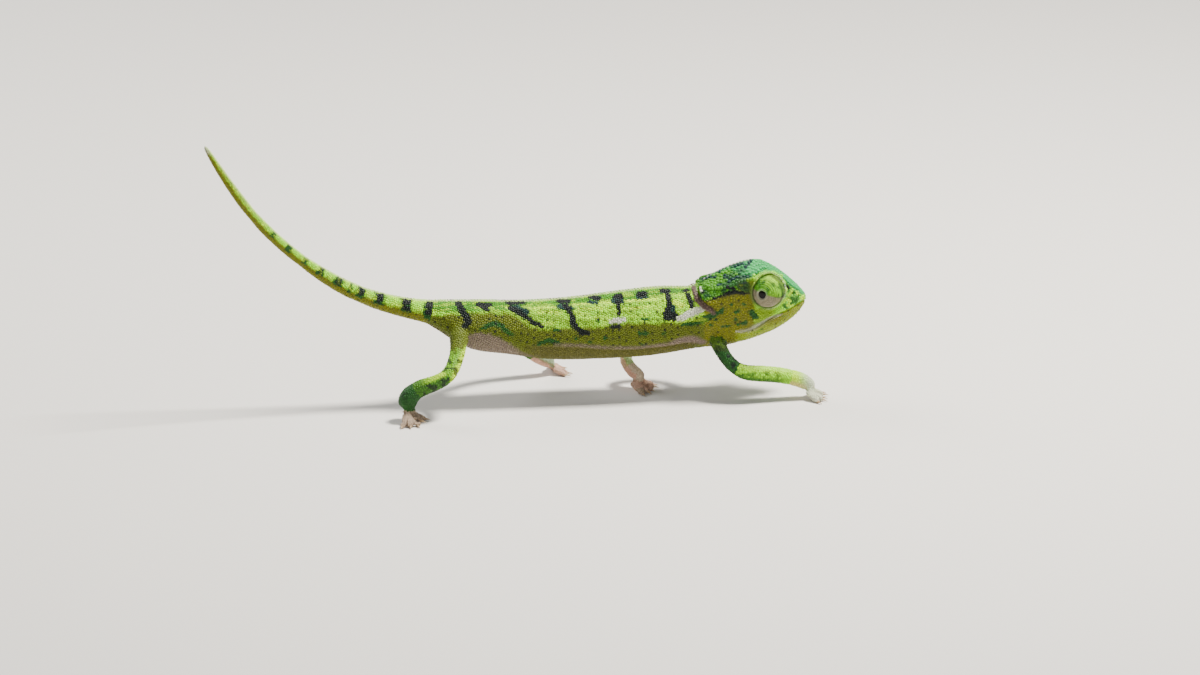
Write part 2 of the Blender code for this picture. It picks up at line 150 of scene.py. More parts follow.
def move_to(obj, points):
    """Write points in millimetres back to the mesh."""
    obj.data.vertices.foreach_set("co", (points * MM).astype(np.float32).ravel())
    obj.data.update()


def smoothstep(low, high, x):
    t = np.clip((x - low) / (high - low), 0.0, 1.0)
    return t * t * (3.0 - 2.0 * t)


def bump(x, width):
    """A smooth hill: 1 at x = 0, 0 beyond the width."""
    return 1.0 - smoothstep(0.0, width, np.abs(x))


def run_along(line):
    """The distance from a line's start to each of its places."""
    return np.concatenate(((0.0,), np.cumsum(np.linalg.norm(np.diff(line, axis=0), axis=1))))


def kd_tree(points):
    """A tree that finds the nearest of many places."""
    tree = KDTree(len(points))
    for i, point in enumerate(points):
        tree.insert(Vector(point), i)
    tree.balance()
    return tree


# %% [markdown]
# ## One skin from many solids
#
# On the animal the skin runs unbroken from lips to tail. The solids are parted by cuts 0.3 mm
# wide, so each is copied, swollen until the cuts close, and joined. A voxel remesh then pours one
# new surface over them all, as a sculptor would fuse blocks of clay, and smoothing melts the
# joints into soft creases. The claws are horn, so the tips of the toes are pulled back first.

# %% Copy, swell and fuse
EYES = {"right": "eye_right", "left": "eye_left"}
LIDS = {side: f"eyelids_{side}" for side in EYES}
FLESH = [name for name in sorted(NODES) if name not in [*EYES.values(), *LIDS.values()]]
SWELL = 0.19             # closes the cuts with a little to spare
COAT_DEPTH = 0.07        # the scales stand this high over the skin
VOXEL = 0.245
CLAW_SHOWS = 0.5         # length of horn in front of each toe
TIP_HEIGHTS = (0.03, 0.14)    # a claw's tip lies between these heights over the floor
TIP_SPACING = 0.7        # the tips of a bundle lie at least this far apart
TOE_HALF_WIDTH = 0.5


def toe_heading(name):
    """The level way a bundle of toes points, from its palm's middle to its own."""
    palm = name.rsplit("_", 2)[0]
    low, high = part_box(name)
    palm_low, palm_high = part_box(palm)
    way = (low + high) / 2 - (palm_low + palm_high) / 2
    way.z = 0.0
    return way.normalized()


def palm_middle(name):
    """The middle of the palm or foot that a bundle of toes grows from."""
    return np.array(sum(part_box(name.rsplit("_", 2)[0]), Vector())) / 2 / MM


def toe_tips(name):
    """The tips of a bundle's claws: its low places farthest from the palm, in order."""
    count = 3 if name.startswith("hand") == ("inner" in name) else 2
    palm = palm_middle(name)
    points = places(NODES[name])
    lowest, highest = TIP_HEIGHTS
    points = points[(points[:, 2] > FLOOR + lowest) & (points[:, 2] < FLOOR + highest)]
    far_first = np.argsort(-np.linalg.norm((points - palm)[:, :2], axis=1), kind="stable")
    tips = []
    for place in points[far_first]:
        if all(np.linalg.norm((place - other)[:2]) > TIP_SPACING for other in tips):
            tips.append(place)
    across = np.cross((0.0, 0.0, 1.0), toe_heading(name))
    return sorted(tips[:count], key=lambda tip: tip @ across)


def pull_back_claws(bm, name):
    """Flatten each toe short of its claw's tip, to leave room for the horn."""
    palm = palm_middle(name)
    for tip in toe_tips(name):
        way = (tip - palm) * (1.0, 1.0, 0.0)
        way /= np.linalg.norm(way)
        for vert in bm.verts:
            off = np.array(vert.co) / MM - tip
            beyond = off @ way + CLAW_SHOWS
            if beyond > 0.0 and abs(off[0] * way[1] - off[1] * way[0]) < TOE_HALF_WIDTH:
                vert.co -= Vector(way) * beyond * MM


def flesh_copy(name):
    copy = link("flesh_" + name, NODES[name].data.copy())
    bm = bmesh.new()
    bm.from_mesh(copy.data)
    bmesh.ops.remove_doubles(bm, verts=bm.verts, dist=0.002 * MM)
    if name.endswith("_toes"):
        pull_back_claws(bm, name)
    bm.normal_update()
    moves = [(v, v.normal.copy()) for v in bm.verts]
    for vert, normal in moves:
        vert.co += normal * SWELL * MM
    bm.to_mesh(copy.data)
    bm.free()
    return copy


copies = [flesh_copy(name) for name in FLESH]
EYE_BALLS = {}
for side, name in LIDS.items():
    low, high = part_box(name)
    radius = (high.z - low.z) / 2
    inner = high.y - radius if side == "right" else low.y + radius
    centre = Vector(((low.x + high.x) / 2, inner, (low.z + high.z) / 2))
    deselect()
    bpy.ops.mesh.primitive_uv_sphere_add(segments=48, ring_count=32, location=centre,
                                         radius=radius + 0.1 * MM)
    ball = bpy.context.object
    bpy.ops.object.transform_apply(location=True)
    copies.append(ball)
    EYE_BALLS[side] = (np.array(centre) / MM, radius / MM)
print("eye turrets, mm:", {s: (c.round(2), round(r, 2)) for s, (c, r) in EYE_BALLS.items()})


# %% Pour one surface over all of them
def fuse(objects, name, voxel):
    select_only(objects)
    bpy.ops.object.join()
    fused = bpy.context.object
    fused.name = name
    remesh = fused.modifiers.new("Pour", "REMESH")
    remesh.mode = "VOXEL"
    remesh.voxel_size = voxel * MM
    bpy.ops.object.modifier_apply(modifier="Pour")
    return fused


def keep_largest_island(obj):
    """Drop the specks that a remesh leaves inside a body."""
    bm = bmesh.new()
    bm.from_mesh(obj.data)
    islands = []
    seen = set()
    for start in bm.verts:
        if start in seen:
            continue
        island = {start}
        front = [start]
        while front:
            vert = front.pop()
            for edge in vert.link_edges:
                other = edge.other_vert(vert)
                if other not in island:
                    island.add(other)
                    front.append(other)
        seen |= island
        islands.append(island)
    islands.sort(key=len)
    specks = [vert for island in islands[:-1] for vert in island]
    bmesh.ops.delete(bm, geom=specks, context="VERTS")
    bm.to_mesh(obj.data)
    bm.free()


def tree_of(objects):
    points = []
    faces = []
    owner = []
    for obj in objects:
        first = len(points)
        points += [Vector(p) for p in places(obj)]
        faces += [[first + i for i in face.vertices] for face in obj.data.polygons]
        owner += [obj.name] * len(obj.data.polygons)
    return BVHTree.FromPolygons(points, faces), owner


skin = fuse(copies, "skin", VOXEL)
keep_largest_island(skin)
POURED_TREE, _ = tree_of([skin])
print("skin faces after fusing:", len(skin.data.polygons))


# %% [markdown]
# ## Smooth without shrinking
#
# Plain smoothing melts a thin tail away. Here each pass that pulls points towards their
# neighbours is followed by one that pushes them out almost as far, which removes the voxel steps
# and keeps the volume. The face and the feet then get finer faces, because their folds are small.

# %% Smoothing and finer faces where they are needed
def neighbour_mean(points, edges):
    total = np.zeros_like(points)
    count = np.zeros(len(points))
    for a, b in ((0, 1), (1, 0)):
        for axis in range(points.shape[1]):
            total[:, axis] += np.bincount(edges[:, a], points[edges[:, b], axis], len(points))
        count += np.bincount(edges[:, a], minlength=len(points))
    return total / np.maximum(count, 1)[:, None]


def edge_pairs(obj):
    return fetch(obj.data.edges, "vertices", 2, np.int32)


def smooth(obj, passes, weight=1.0):
    """Pull in, push out; weight may be a number for each point."""
    points = places(obj)
    edges = edge_pairs(obj)
    weight = np.broadcast_to(weight, len(points))[:, None]
    for _ in range(passes):
        points += 0.5 * weight * (neighbour_mean(points, edges) - points)
        points -= 0.52 * weight * (neighbour_mean(points, edges) - points)
    move_to(obj, points)


def fine_area(points):
    """True for places on the head and the feet."""
    wanted = points[:, 0] > behind_snout(13.4)
    wanted &= points[:, 2] > FLOOR + 6.0
    for name in FLESH:
        if name.startswith(("hand", "foot")):
            low, high = (np.array(corner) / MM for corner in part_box(name))
            wanted |= np.all((points > low - 0.35) & (points < high + 0.35), axis=1)
    return wanted


def subdivide(obj, chosen):
    """One subdivision of the chosen faces; chosen is a function of their middles."""
    select_only([obj])
    centres = fetch(obj.data.polygons, "center", 3)
    bpy.ops.object.mode_set(mode="EDIT")
    bpy.ops.mesh.select_mode(type="FACE")
    bpy.ops.mesh.select_all(action="DESELECT")
    bpy.ops.object.mode_set(mode="OBJECT")
    obj.data.polygons.foreach_set("select", chosen(centres / MM))
    bpy.ops.object.mode_set(mode="EDIT")
    bpy.ops.mesh.subdivide(number_cuts=1)
    bpy.ops.object.mode_set(mode="OBJECT")


smooth(skin, 8)
move_to(skin, places(skin) - normals(skin) * (SWELL + COAT_DEPTH))
smooth(skin, 4)
subdivide(skin, fine_area)
smooth(skin, 6)
print("skin faces after refining:", len(skin.data.polygons))


# %% [markdown]
# ## Back to true thickness
#
# However gentle, smoothing eats the thinnest parts first: the end of the tail, the lips, the toes.
# The surface just poured still knows how thick they were, so every point is moved back to its
# proper depth under it. The pads of the toes are then pulled onto the solids themselves, which
# brings back their edges, and furrows are pressed in where one toe lies against the next.

# %% Back to true thickness
def standing(tree, points):
    """How far each place stands outside a closed surface; less than zero inside it."""
    heights = np.empty(len(points))
    for i, point in enumerate(points):
        near, facing, _, distance = tree.find_nearest(Vector(point))
        outside = (Vector(point) - near).dot(facing) > 0.0
        heights[i] = distance if outside else -distance
    return heights


def bring_back(obj, tree, depth, weight=1.0):
    """Move every point of a surface to one depth under another, keeping it soft."""
    points = places(obj)
    edges = edge_pairs(obj)
    lift = np.clip(-depth - standing(tree, points), -0.3, 0.3)[:, None]
    for _ in range(3):
        lift = 0.5 * (lift + neighbour_mean(lift, edges))
    move_to(obj, points + normals(obj) * lift * np.broadcast_to(weight, len(points))[:, None])


for _ in range(2):
    thin = smoothstep(behind_snout(54.0), behind_snout(68.0), places(skin)[:, 0])
    bring_back(skin, POURED_TREE, SWELL + COAT_DEPTH * (1.0 - 0.8 * thin))
    smooth(skin, 2, 1.0 - 0.7 * thin)


# %% Toes
TOES = [name for name in FLESH if name.endswith("_toes")]


def between_toes(points):
    """1 in the furrows between the toes of each bundle, 0 elsewhere."""
    furrow = np.zeros(len(points))
    for name in TOES:
        palm = palm_middle(name)
        tips = toe_tips(name)
        for one, other in zip(tips, tips[1:]):
            line = ((one + other) / 2 - palm)[:2]
            off = points[:, :2] - palm[:2]
            run = off @ line / (line @ line)
            aside = np.abs(off[:, 0] * line[1] - off[:, 1] * line[0]) / np.linalg.norm(line)
            here = bump(aside, 0.19) * smoothstep(0.45, 0.8, run) * (run < 1.5)
            furrow = np.maximum(furrow, here * smoothstep(FLOOR + 2.2, FLOOR + 1.6, points[:, 2]))
    return furrow


def near_toes(points, facing):
    """1 on the pads of the toes, less where their tips were pulled back for the claws."""
    inside = np.zeros(len(points), bool)
    ahead = np.full(len(points), -1.0)
    for name in TOES:
        low, high = (np.array(corner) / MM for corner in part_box(name))
        here = np.all((points > low - 0.2) & (points < high + 0.2), axis=1)
        inside |= here
        ahead = np.maximum(ahead, np.where(here, facing @ np.array(toe_heading(name)), -1.0))
    from_tips = np.min([np.linalg.norm(points - tip, axis=1) for name in TOES
                        for tip in toe_tips(name)], axis=0)
    return inside * smoothstep(0.6, 0.1, ahead) * smoothstep(0.5, 0.9, from_tips)


PADS_TREE, _ = tree_of([NODES[name] for name in TOES])
bring_back(skin, PADS_TREE, COAT_DEPTH, near_toes(places(skin), normals(skin)))
press = -0.17 * between_toes(places(skin))
move_to(skin, places(skin) + normals(skin) * press[:, None])
print("toes in each bundle:", [len(toe_tips(name)) for name in TOES])


# %% [markdown]
# ## Sculpting the face
#
# Chameleons look out of cone-like turrets, scaly lids fused into one dome with a small round
# opening. The head also has a lip fold, nostrils, low bony crests over the eyes and down the
# casque, and soft flaps over the neck. Each is a short rule that pushes points of the skin in or
# out near a line on the side of the head: (behind the snout, above the floor). Some of the lines'
# numbers were printed by a separate measuring script and copied here, not chosen by hand.

# %% Lines drawn on the side of the body
LIP = [(-1.5, 10.9), (0.0, 10.98), (0.48, 11.25), (2.14, 10.54), (3.63, 10.05), (4.74, 9.55),
       (6.03, 8.72), (7.6, 8.2), (8.5, 8.3)]
BROW = [(0.9, 12.6), (1.9, 13.35), (3.1, 14.55), (4.3, 15.5), (5.6, 15.75), (6.7, 15.0)]
TEMPLE = [(6.5, 14.75), (8.06, 14.5), (9.51, 13.95), (10.89, 13.6), (12.1, 13.45)]
COLLAR = [(13.65, 14.6), (13.55, 13.3), (13.5, 12.75), (13.3, 12.25), (12.6, 11.5), (11.7, 10.95)]
BELLY_FOLD = [(33.5, 7.7), (30.2, 7.52), (27.7, 7.34), (24.7, 6.95), (22.6, 6.73), (20.9, 6.7),
              (19.4, 6.83), (17.2, 6.9), (15.7, 7.1), (13.4, 7.3)]
BACK_FOLD = [(41.0, 11.75), (39.13, 11.69), (32.02, 11.5), (24.91, 11.7), (17.74, 12.17), (14.5, 12.6)]
NOSTRIL = (1.78, 12.42)
FLAP = (11.55, 13.1)
FLAP_REACH = 1.38


def side_view(points):
    """Places as a naturalist notes them: behind the snout, above the floor."""
    return np.column_stack((SNOUT - points[:, 0], points[:, 2] - FLOOR))


def from_line(flat, line):
    """Distance from a drawn line, below it negative; and the share of the way along it."""
    best = np.full(len(flat), 1e9)
    share = np.zeros(len(flat))
    sign = np.ones(len(flat))
    for step, (start, end) in enumerate(zip(line[:-1], line[1:])):
        start = np.array(start)
        way = np.array(end) - start
        along = np.clip((flat - start) @ way / (way @ way), 0.0, 1.0)
        off = flat - start - along[:, None] * way
        dist = np.hypot(off[:, 0], off[:, 1])
        nearer = dist < best
        best[nearer] = dist[nearer]
        share[nearer] = (step + along[nearer]) / (len(line) - 1)
        sign[nearer] = np.where(off[nearer, 1] < 0.0, -1.0, 1.0)
    return best * sign, share


def spot(flat, centre, reach):
    """1 in the middle of a round spot, fading to 0 at its edge."""
    return bump(np.hypot(*(flat - np.array(centre)).T) / reach, 1.0)


# The eyes of a chameleon turn apart: this one looks out and back, the other out and ahead.
GAZE = {"right": np.array((-0.53, -0.845, 0.02)), "left": np.array((0.30, 0.95, 0.12))}
for side in GAZE:
    GAZE[side] /= np.linalg.norm(GAZE[side])


def angle_from_gaze(off, side, dist):
    """Degrees between a way out of the eye and the way that it looks."""
    return np.degrees(np.arccos(np.clip(off @ GAZE[side] / dist, -1.0, 1.0)))


# %% Finer faces on the lids
def near_eyes(points, reach):
    close = np.zeros(len(points), bool)
    for side, (centre, radius) in EYE_BALLS.items():
        ahead = centre + GAZE[side] * radius
        close |= np.linalg.norm(points - ahead, axis=1) < reach
    return close


# %% The eye turrets
OPENING = 17.0           # degrees from the gaze to the rim of the opening
LID_RINGS = 8.0          # degrees from one fine fold to the next


def turret_profile(angle):
    """Height of the lids over a plain ball, at an angle from the gaze."""
    height = -0.62 * (1.0 - smoothstep(OPENING - 4.0, OPENING, angle))
    height += 0.07 * bump(angle - OPENING - 3.0, 5.0)
    folds = 0.5 - 0.5 * np.cos(np.radians(angle - OPENING) * 360.0 / LID_RINGS)
    height -= 0.024 * folds * smoothstep(OPENING + 4.0, OPENING + 14.0, angle)
    height += 0.05 * bump(angle - 58.0, 18.0)
    return height - 0.05 * bump(angle - 84.0, 12.0)


def shape_turrets(points):
    for side, (centre, radius) in EYE_BALLS.items():
        off = points - centre
        dist = np.linalg.norm(off, axis=1)
        angle = angle_from_gaze(off, side, dist)
        wanted = radius - COAT_DEPTH - 0.06 + turret_profile(angle)
        on_ball = 1.0 - smoothstep(radius - 0.06, radius + 0.14, dist)
        on_ball *= dist > radius - 1.0
        points += (off / dist[:, None]) * ((wanted - dist) * on_ball)[:, None]
    return points


def around_turrets(points):
    """The thick ring of skin about each turret, and the furrow inside it."""
    height = np.zeros(len(points))
    for centre, radius in EYE_BALLS.values():
        dist = np.linalg.norm(points - centre, axis=1) - radius
        forward = 0.75 + 0.25 * np.clip((points[:, 0] - centre[0] + points[:, 2] - centre[2]) / 2, -1, 1)
        height += 0.16 * forward * bump(dist - 0.13, 0.18)
        height -= 0.14 * bump(dist + 0.09, 0.13)
        height -= 0.05 * bump(dist - 0.5, 0.2)
    return height


# %% Lips, nostrils, crests and flaps
def head_relief(points, facing):
    """How far to push each point of the head out along its normal."""
    flat = side_view(points)
    sideways = smoothstep(0.15, 0.5, np.abs(facing[:, 1]))
    off_mid = np.abs(points[:, 1] - MIDLINE)
    height = around_turrets(points)
    lip, along = from_line(flat, LIP)
    fade = 1.0 - 0.75 * smoothstep(0.8, 1.0, along)
    height -= 0.15 * fade * bump(lip, 0.17)
    height += 0.07 * fade * bump(lip - 0.36, 0.3)
    height += 0.05 * fade * bump(lip + 0.34, 0.26)
    nostril = np.hypot(*(flat - np.array(NOSTRIL)).T)
    height += sideways * (0.07 * bump(nostril - 0.3, 0.22) - 0.2 * bump(nostril, 0.2))
    brow, _ = from_line(flat, BROW)
    height += 0.13 * sideways * bump(brow, 0.42)
    temple, _ = from_line(flat, TEMPLE)
    height += 0.17 * sideways * bump(temple, 0.4)
    height -= 0.1 * sideways * spot(flat, (9.0, 12.6), 2.1)
    casque = smoothstep(5.2, 7.0, flat[:, 0]) * (1.0 - smoothstep(12.0, 13.2, flat[:, 0]))
    height += 0.16 * casque * bump(off_mid, 0.45) * (facing[:, 2] > 0.3)
    height -= 0.08 * casque * bump(off_mid - 1.1, 0.8) * (facing[:, 2] > 0.2)
    reach = np.hypot(*(flat - np.array(FLAP)).T) / FLAP_REACH
    edge = smoothstep(10.6, 12.3, flat[:, 0])
    height += 0.42 * sideways * edge * (1.0 - smoothstep(0.9, 1.0, reach))
    height += 0.1 * sideways * edge * bump(reach - 0.86, 0.13)
    return height


def body_relief(points, facing):
    flat = side_view(points)
    sideways = smoothstep(0.15, 0.5, np.abs(facing[:, 1]))
    collar, _ = from_line(flat, COLLAR)
    height = 0.16 * sideways * bump(collar, 0.42) - 0.09 * sideways * bump(collar - 0.55, 0.25)
    fold, _ = from_line(flat, BELLY_FOLD)
    height += 0.09 * sideways * bump(fold, 0.28) - 0.07 * sideways * bump(fold + 0.4, 0.3)
    back, _ = from_line(flat, BACK_FOLD)
    trunk = smoothstep(13.5, 16.0, flat[:, 0]) * (1.0 - smoothstep(38.0, 44.0, flat[:, 0]))
    height += 0.07 * sideways * trunk * bump(back, 0.26)
    height -= 0.05 * sideways * trunk * bump(back - 0.55, 0.35)
    return height


subdivide(skin, lambda middles: near_eyes(middles, 2.05))
smooth(skin, 3, near_eyes(places(skin), 2.35).astype(float))
on_head = smoothstep(behind_snout(15.0), behind_snout(13.6), places(skin)[:, 0])
relief = head_relief(places(skin), normals(skin)) * on_head
relief += body_relief(places(skin), normals(skin))
move_to(skin, places(skin) + normals(skin) * relief[:, None])
smooth(skin, 1, on_head)
subdivide(skin, lambda middles: near_eyes(middles, 0.85))
move_to(skin, shape_turrets(places(skin)))
select_only([skin])
bpy.ops.object.shade_smooth()
triangles = sum(len(face.vertices) - 2 for face in skin.data.polygons)
print(f"sculpted skin: {len(skin.data.polygons)} faces, {triangles} triangles")


# %% [markdown]
# ## An unwrap for the skin
#
# The skin is cut into patches and laid flat by its own angles. Every scale will take its place on
# this same map, so the colours of the skin and of the scales can be stored side by side.

# %% Unwrap
UV_NAME = "OFBake"
select_only([skin])
bpy.ops.object.mode_set(mode="EDIT")
bpy.ops.mesh.select_all(action="SELECT")
bpy.ops.uv.smart_project(angle_limit=math.radians(70.0), island_margin=0.002)
bpy.ops.object.mode_set(mode="OBJECT")
skin.data.uv_layers[0].name = UV_NAME


# %% [markdown]
# ## A map of the body
#
# Markings and rows of scales run along and around the body, not along x, y and z. A walk from the
# neck to the tip of the tail, centring itself between back and belly at each step, gives the
# body's own middle line. Any place then has a distance along it and an angle from the spine.

# %% The body's middle line
SKIN_TREE, _ = tree_of([skin])
FLESH_TREE, FLESH_OWNER = tree_of([NODES[name] for name in [*FLESH, *LIDS.values()]])
STEP = 0.4


def wall(tree, start, way, reach=9.0):
    """Distance from inside the body to its wall, or None."""
    hit = tree.ray_cast(Vector(start), Vector(way), reach)
    return hit[3]


def walk_tail():
    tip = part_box("tail_4")[0].x / MM
    here = Vector((behind_snout(13.2), MIDLINE, FLOOR + 10.0))
    way = Vector((-1.0, 0.0, 0.0))
    line = []
    while here.x > tip:
        up = Vector((0.0, 1.0, 0.0)).cross(way)
        above = wall(SKIN_TREE, here, up)
        below = wall(SKIN_TREE, here, -up)
        if above and below:
            here = here + up * (above - below) / 2
        if line:
            way = (way * 4.0 + (here - line[-1]).normalized()).normalized()
        line.append(here.copy())
        here = here + way * STEP
    return np.array(line)


MIDDLE = walk_tail()
for _ in range(6):
    MIDDLE[1:-1] = (MIDDLE[:-2] + 2.0 * MIDDLE[1:-1] + MIDDLE[2:]) / 4.0
ALONG = run_along(MIDDLE)
WAYS = np.gradient(MIDDLE, axis=0)
WAYS /= np.linalg.norm(WAYS, axis=1)[:, None]
print(f"middle line: {len(MIDDLE)} steps, {ALONG[-1]:.1f} mm from neck to tail tip")


def on_middle(distance):
    """The middle line's place and heading this far along it."""
    place = np.array([np.interp(distance, ALONG, MIDDLE[:, i]) for i in range(3)])
    way = np.array([np.interp(distance, ALONG, WAYS[:, i]) for i in range(3)])
    return place, way / np.linalg.norm(way)


def body_map(points):
    """Distance along the middle line and angle from the spine, in degrees, of each place."""
    tree = kd_tree(MIDDLE)
    nearest = np.array([tree.find(Vector(p))[1] for p in points])
    off = points - MIDDLE[nearest]
    along = ALONG[nearest] + np.einsum("ij,ij->i", off, WAYS[nearest])
    up = np.cross(np.array((0.0, 1.0, 0.0)), WAYS[nearest])
    angle = np.degrees(np.arctan2(off[:, 1], np.einsum("ij,ij->i", off, up)))
    return along, angle


# %% Cross-sections of trunk and tail
RAYS = 72
ROW = 0.26               # from one ring of scales to the next on the trunk


def cross_sections():
    """Rings of places on the skin, about the middle line, with the legs left out."""
    stations = np.arange(0.2, ALONG[-1] - 0.25, ROW)
    turns = np.arange(RAYS) * 2.0 * np.pi / RAYS
    reach = np.empty((len(stations), RAYS))
    frames = []
    for i, distance in enumerate(stations):
        place, way = on_middle(distance)
        up = np.cross((0.0, 1.0, 0.0), way)
        frames.append((place, up))
        for j, turn in enumerate(turns):
            ray = up * math.cos(turn) + np.array((0.0, math.sin(turn), 0.0))
            reach[i, j] = wall(SKIN_TREE, place, ray) or np.nan
    window = int(3.4 / ROW)
    calm = reach.copy()
    for i in range(len(stations)):
        nearby = reach[max(0, i - window):i + window + 1]
        calm[i] = np.fmin(reach[i], np.nanpercentile(nearby, 35, axis=0) * 1.12 + 0.08)
    return stations, turns, frames, calm


STATIONS, TURNS, FRAMES, REACH = cross_sections()
print(f"{len(STATIONS)} rings of scales will run from the neck to the tail tip")


# %% [markdown]
# ## Markings
#
# The young of this species are lime green with a darker band along the back, dark saddles, pale
# flaps and a yellow throat. Each marking is a stroke: a few places with a half width. Many of the
# places were printed by a separate measuring script, and copied here as they were or after being
# rounded or moved by hand. The stroke is laid on the surface from the side, and on both
# sides, the far side a little shifted, because no animal is marked the same left and right.
# The same function paints the skin's points and the roots of the scales.

# %% Strokes (behind the snout, above the floor, half width), in millimetres
INK_STROKES = [
    [(41.56, 12.39, 0.44), (41.34, 11.85, 0.48), (40.81, 11.23, 0.46), (40.58, 10.55, 0.42),
     (41.01, 10.13, 0.32), (41.65, 9.93, 0.2)],
    [(39.2, 12.2, 0.42), (37.95, 12.1, 0.42)], [(38.8, 12.0, 0.36), (38.3, 11.8, 0.32)],
    [(35.62, 12.14, 0.4), (33.84, 12.09, 0.38)],
    [(35.5, 11.82, 0.36), (34.7, 11.44, 0.38), (33.86, 10.93, 0.36), (33.15, 10.47, 0.34),
     (32.43, 10.06, 0.3), (31.88, 9.77, 0.2)],
    [(29.6, 12.17, 0.44), (28.65, 12.15, 0.44)],
    [(29.01, 11.82, 0.38), (28.55, 11.35, 0.36), (28.24, 10.72, 0.33), (28.2, 10.04, 0.46),
     (27.71, 9.4, 0.36), (27.05, 9.0, 0.38), (26.31, 8.8, 0.22)],
    [(25.75, 12.47, 0.42), (25.1, 12.47, 0.42)],
    [(22.8, 12.62, 0.45), (22.4, 12.62, 0.45)],
    [(22.72, 12.06, 0.42), (22.7, 11.51, 0.27), (22.72, 10.86, 0.25)],
    [(23.6, 9.6, 0.28), (22.75, 9.58, 0.28)],
    [(20.05, 12.8, 0.45), (19.5, 12.82, 0.45)],
    [(17.3, 13.02, 0.45), (16.85, 13.0, 0.45)],
    [(16.79, 12.6, 0.4), (16.64, 11.97, 0.38), (16.83, 11.33, 0.36), (17.08, 10.92, 0.38)],
    [(17.0, 10.35, 0.48), (15.95, 10.43, 0.54)],
    [(14.7, 12.93, 0.26), (14.3, 12.95, 0.28)], [(14.39, 12.61, 0.32), (14.1, 11.9, 0.4), (14.0, 11.5, 0.34)],
    [(7.2, 12.95, 0.1), (8.03, 13.06, 0.2), (8.93, 13.24, 0.26), (9.67, 13.1, 0.27),
     (10.41, 12.88, 0.2), (11.58, 12.45, 0.15), (12.15, 12.27, 0.08)],
    [(9.07, 13.65, 0.26), (9.8, 13.75, 0.16)], [(12.75, 13.3, 0.14), (12.7, 13.07, 0.2)],
    [(2.5, 13.2, 0.18), (2.3, 13.0, 0.14)],
]
TEAL_STROKES = [
    [(11.85, 14.2, 0.24), (10.91, 14.5, 0.24)], [(8.5, 15.64, 0.3), (7.7, 15.9, 0.3)],
    [(7.4, 15.65, 0.26), (6.77, 16.1, 0.3)], [(10.9, 13.92, 0.22), (10.4, 14.1, 0.16)],
    [(9.93, 14.8, 0.22), (9.59, 14.41, 0.24), (8.54, 14.8, 0.24)], [(8.2, 14.3, 0.16), (7.6, 14.3, 0.12)],
    [(16.5, 11.0, 0.5), (16.2, 11.4, 0.3)], [(23.2, 12.2, 0.36), (22.3, 12.2, 0.34)],
    [(35.0, 11.8, 0.5), (33.6, 11.3, 0.4)], [(26.0, 12.1, 0.32), (25.2, 12.05, 0.26)],
    [(29.6, 11.8, 0.4), (28.4, 11.6, 0.4)], [(20.2, 12.5, 0.3), (19.4, 12.5, 0.26)],
]
LEAF_STROKES = [
    [(39.1, 9.81, 0.2), (38.21, 10.15, 0.26), (37.46, 10.36, 0.3), (36.59, 9.9, 0.27), (36.0, 9.37, 0.2),
     (35.36, 8.9, 0.16)],
    [(32.3, 7.79, 0.18), (31.14, 8.2, 0.33), (29.95, 7.87, 0.2)],
    [(25.25, 10.5, 0.24), (25.2, 10.2, 0.14)], [(20.0, 10.2, 0.2), (19.3, 10.3, 0.2)],
    [(20.4, 8.66, 0.2), (19.52, 8.51, 0.22)], [(24.5, 8.2, 0.2), (24.3, 8.2, 0.14)],
    [(26.4, 7.73, 0.2), (26.2, 7.75, 0.16)], [(30.4, 9.4, 0.2), (30.0, 9.3, 0.14)],
    [(28.0, 8.27, 0.17), (27.8, 8.27, 0.14)], [(17.5, 8.5, 0.18), (17.2, 8.45, 0.14)],
    [(20.1, 7.1, 0.14), (19.7, 7.1, 0.12)], [(32.2, 9.96, 0.24), (31.9, 9.9, 0.2)],
    [(10.42, 10.97, 0.2), (11.6, 10.51, 0.34), (12.33, 10.03, 0.42), (14.1, 9.44, 0.34), (15.16, 9.35, 0.2)],
    [(6.95, 10.7, 0.34), (6.5, 10.1, 0.42), (6.2, 9.9, 0.24)], [(8.6, 9.25, 0.16), (7.6, 9.35, 0.24)],
    [(9.9, 9.1, 0.18), (9.4, 9.15, 0.14)], [(8.9, 10.8, 0.2), (8.4, 10.95, 0.16)],
    [(9.5, 11.75, 0.15), (9.3, 11.65, 0.12)], [(7.85, 11.65, 0.14), (7.65, 11.55, 0.12)],
    [(10.4, 11.3, 0.15), (10.2, 11.2, 0.12)], [(8.85, 9.85, 0.15), (8.7, 9.8, 0.12)],
    [(11.3, 9.85, 0.15), (11.0, 9.9, 0.12)], [(11.8, 9.2, 0.15), (11.6, 9.25, 0.12)],
    [(10.4, 9.0, 0.14), (10.2, 9.0, 0.1)], [(11.6, 7.6, 0.24), (11.2, 6.9, 0.34)],
    [(1.95, 12.5, 0.2), (1.6, 12.3, 0.12)], [(2.4, 11.81, 0.15), (2.2, 11.75, 0.12)],
    [(1.05, 12.05, 0.1), (0.9, 11.95, 0.1)],
    [(2.9, 9.55, 0.12), (2.6, 9.6, 0.1)], [(5.2, 8.5, 0.12), (6.4, 7.8, 0.14)],
]
WHITE_STROKES = [
    [(23.68, 10.12, 0.26), (22.93, 10.27, 0.38), (22.2, 10.29, 0.26)],
    [(15.6, 10.08, 0.34), (14.5, 10.55, 0.44), (13.2, 11.02, 0.42), (12.45, 11.4, 0.28)],
    [(12.9, 13.9, 0.1), (12.88, 13.5, 0.13), (12.85, 13.2, 0.1)],
]
LIP_STROKES = [[(3.2, 9.9, 0.04), (4.4, 9.72, 0.1), (5.0, 9.5, 0.2), (6.1, 8.85, 0.27), (7.22, 8.4, 0.27),
                (8.6, 8.3, 0.12)]]
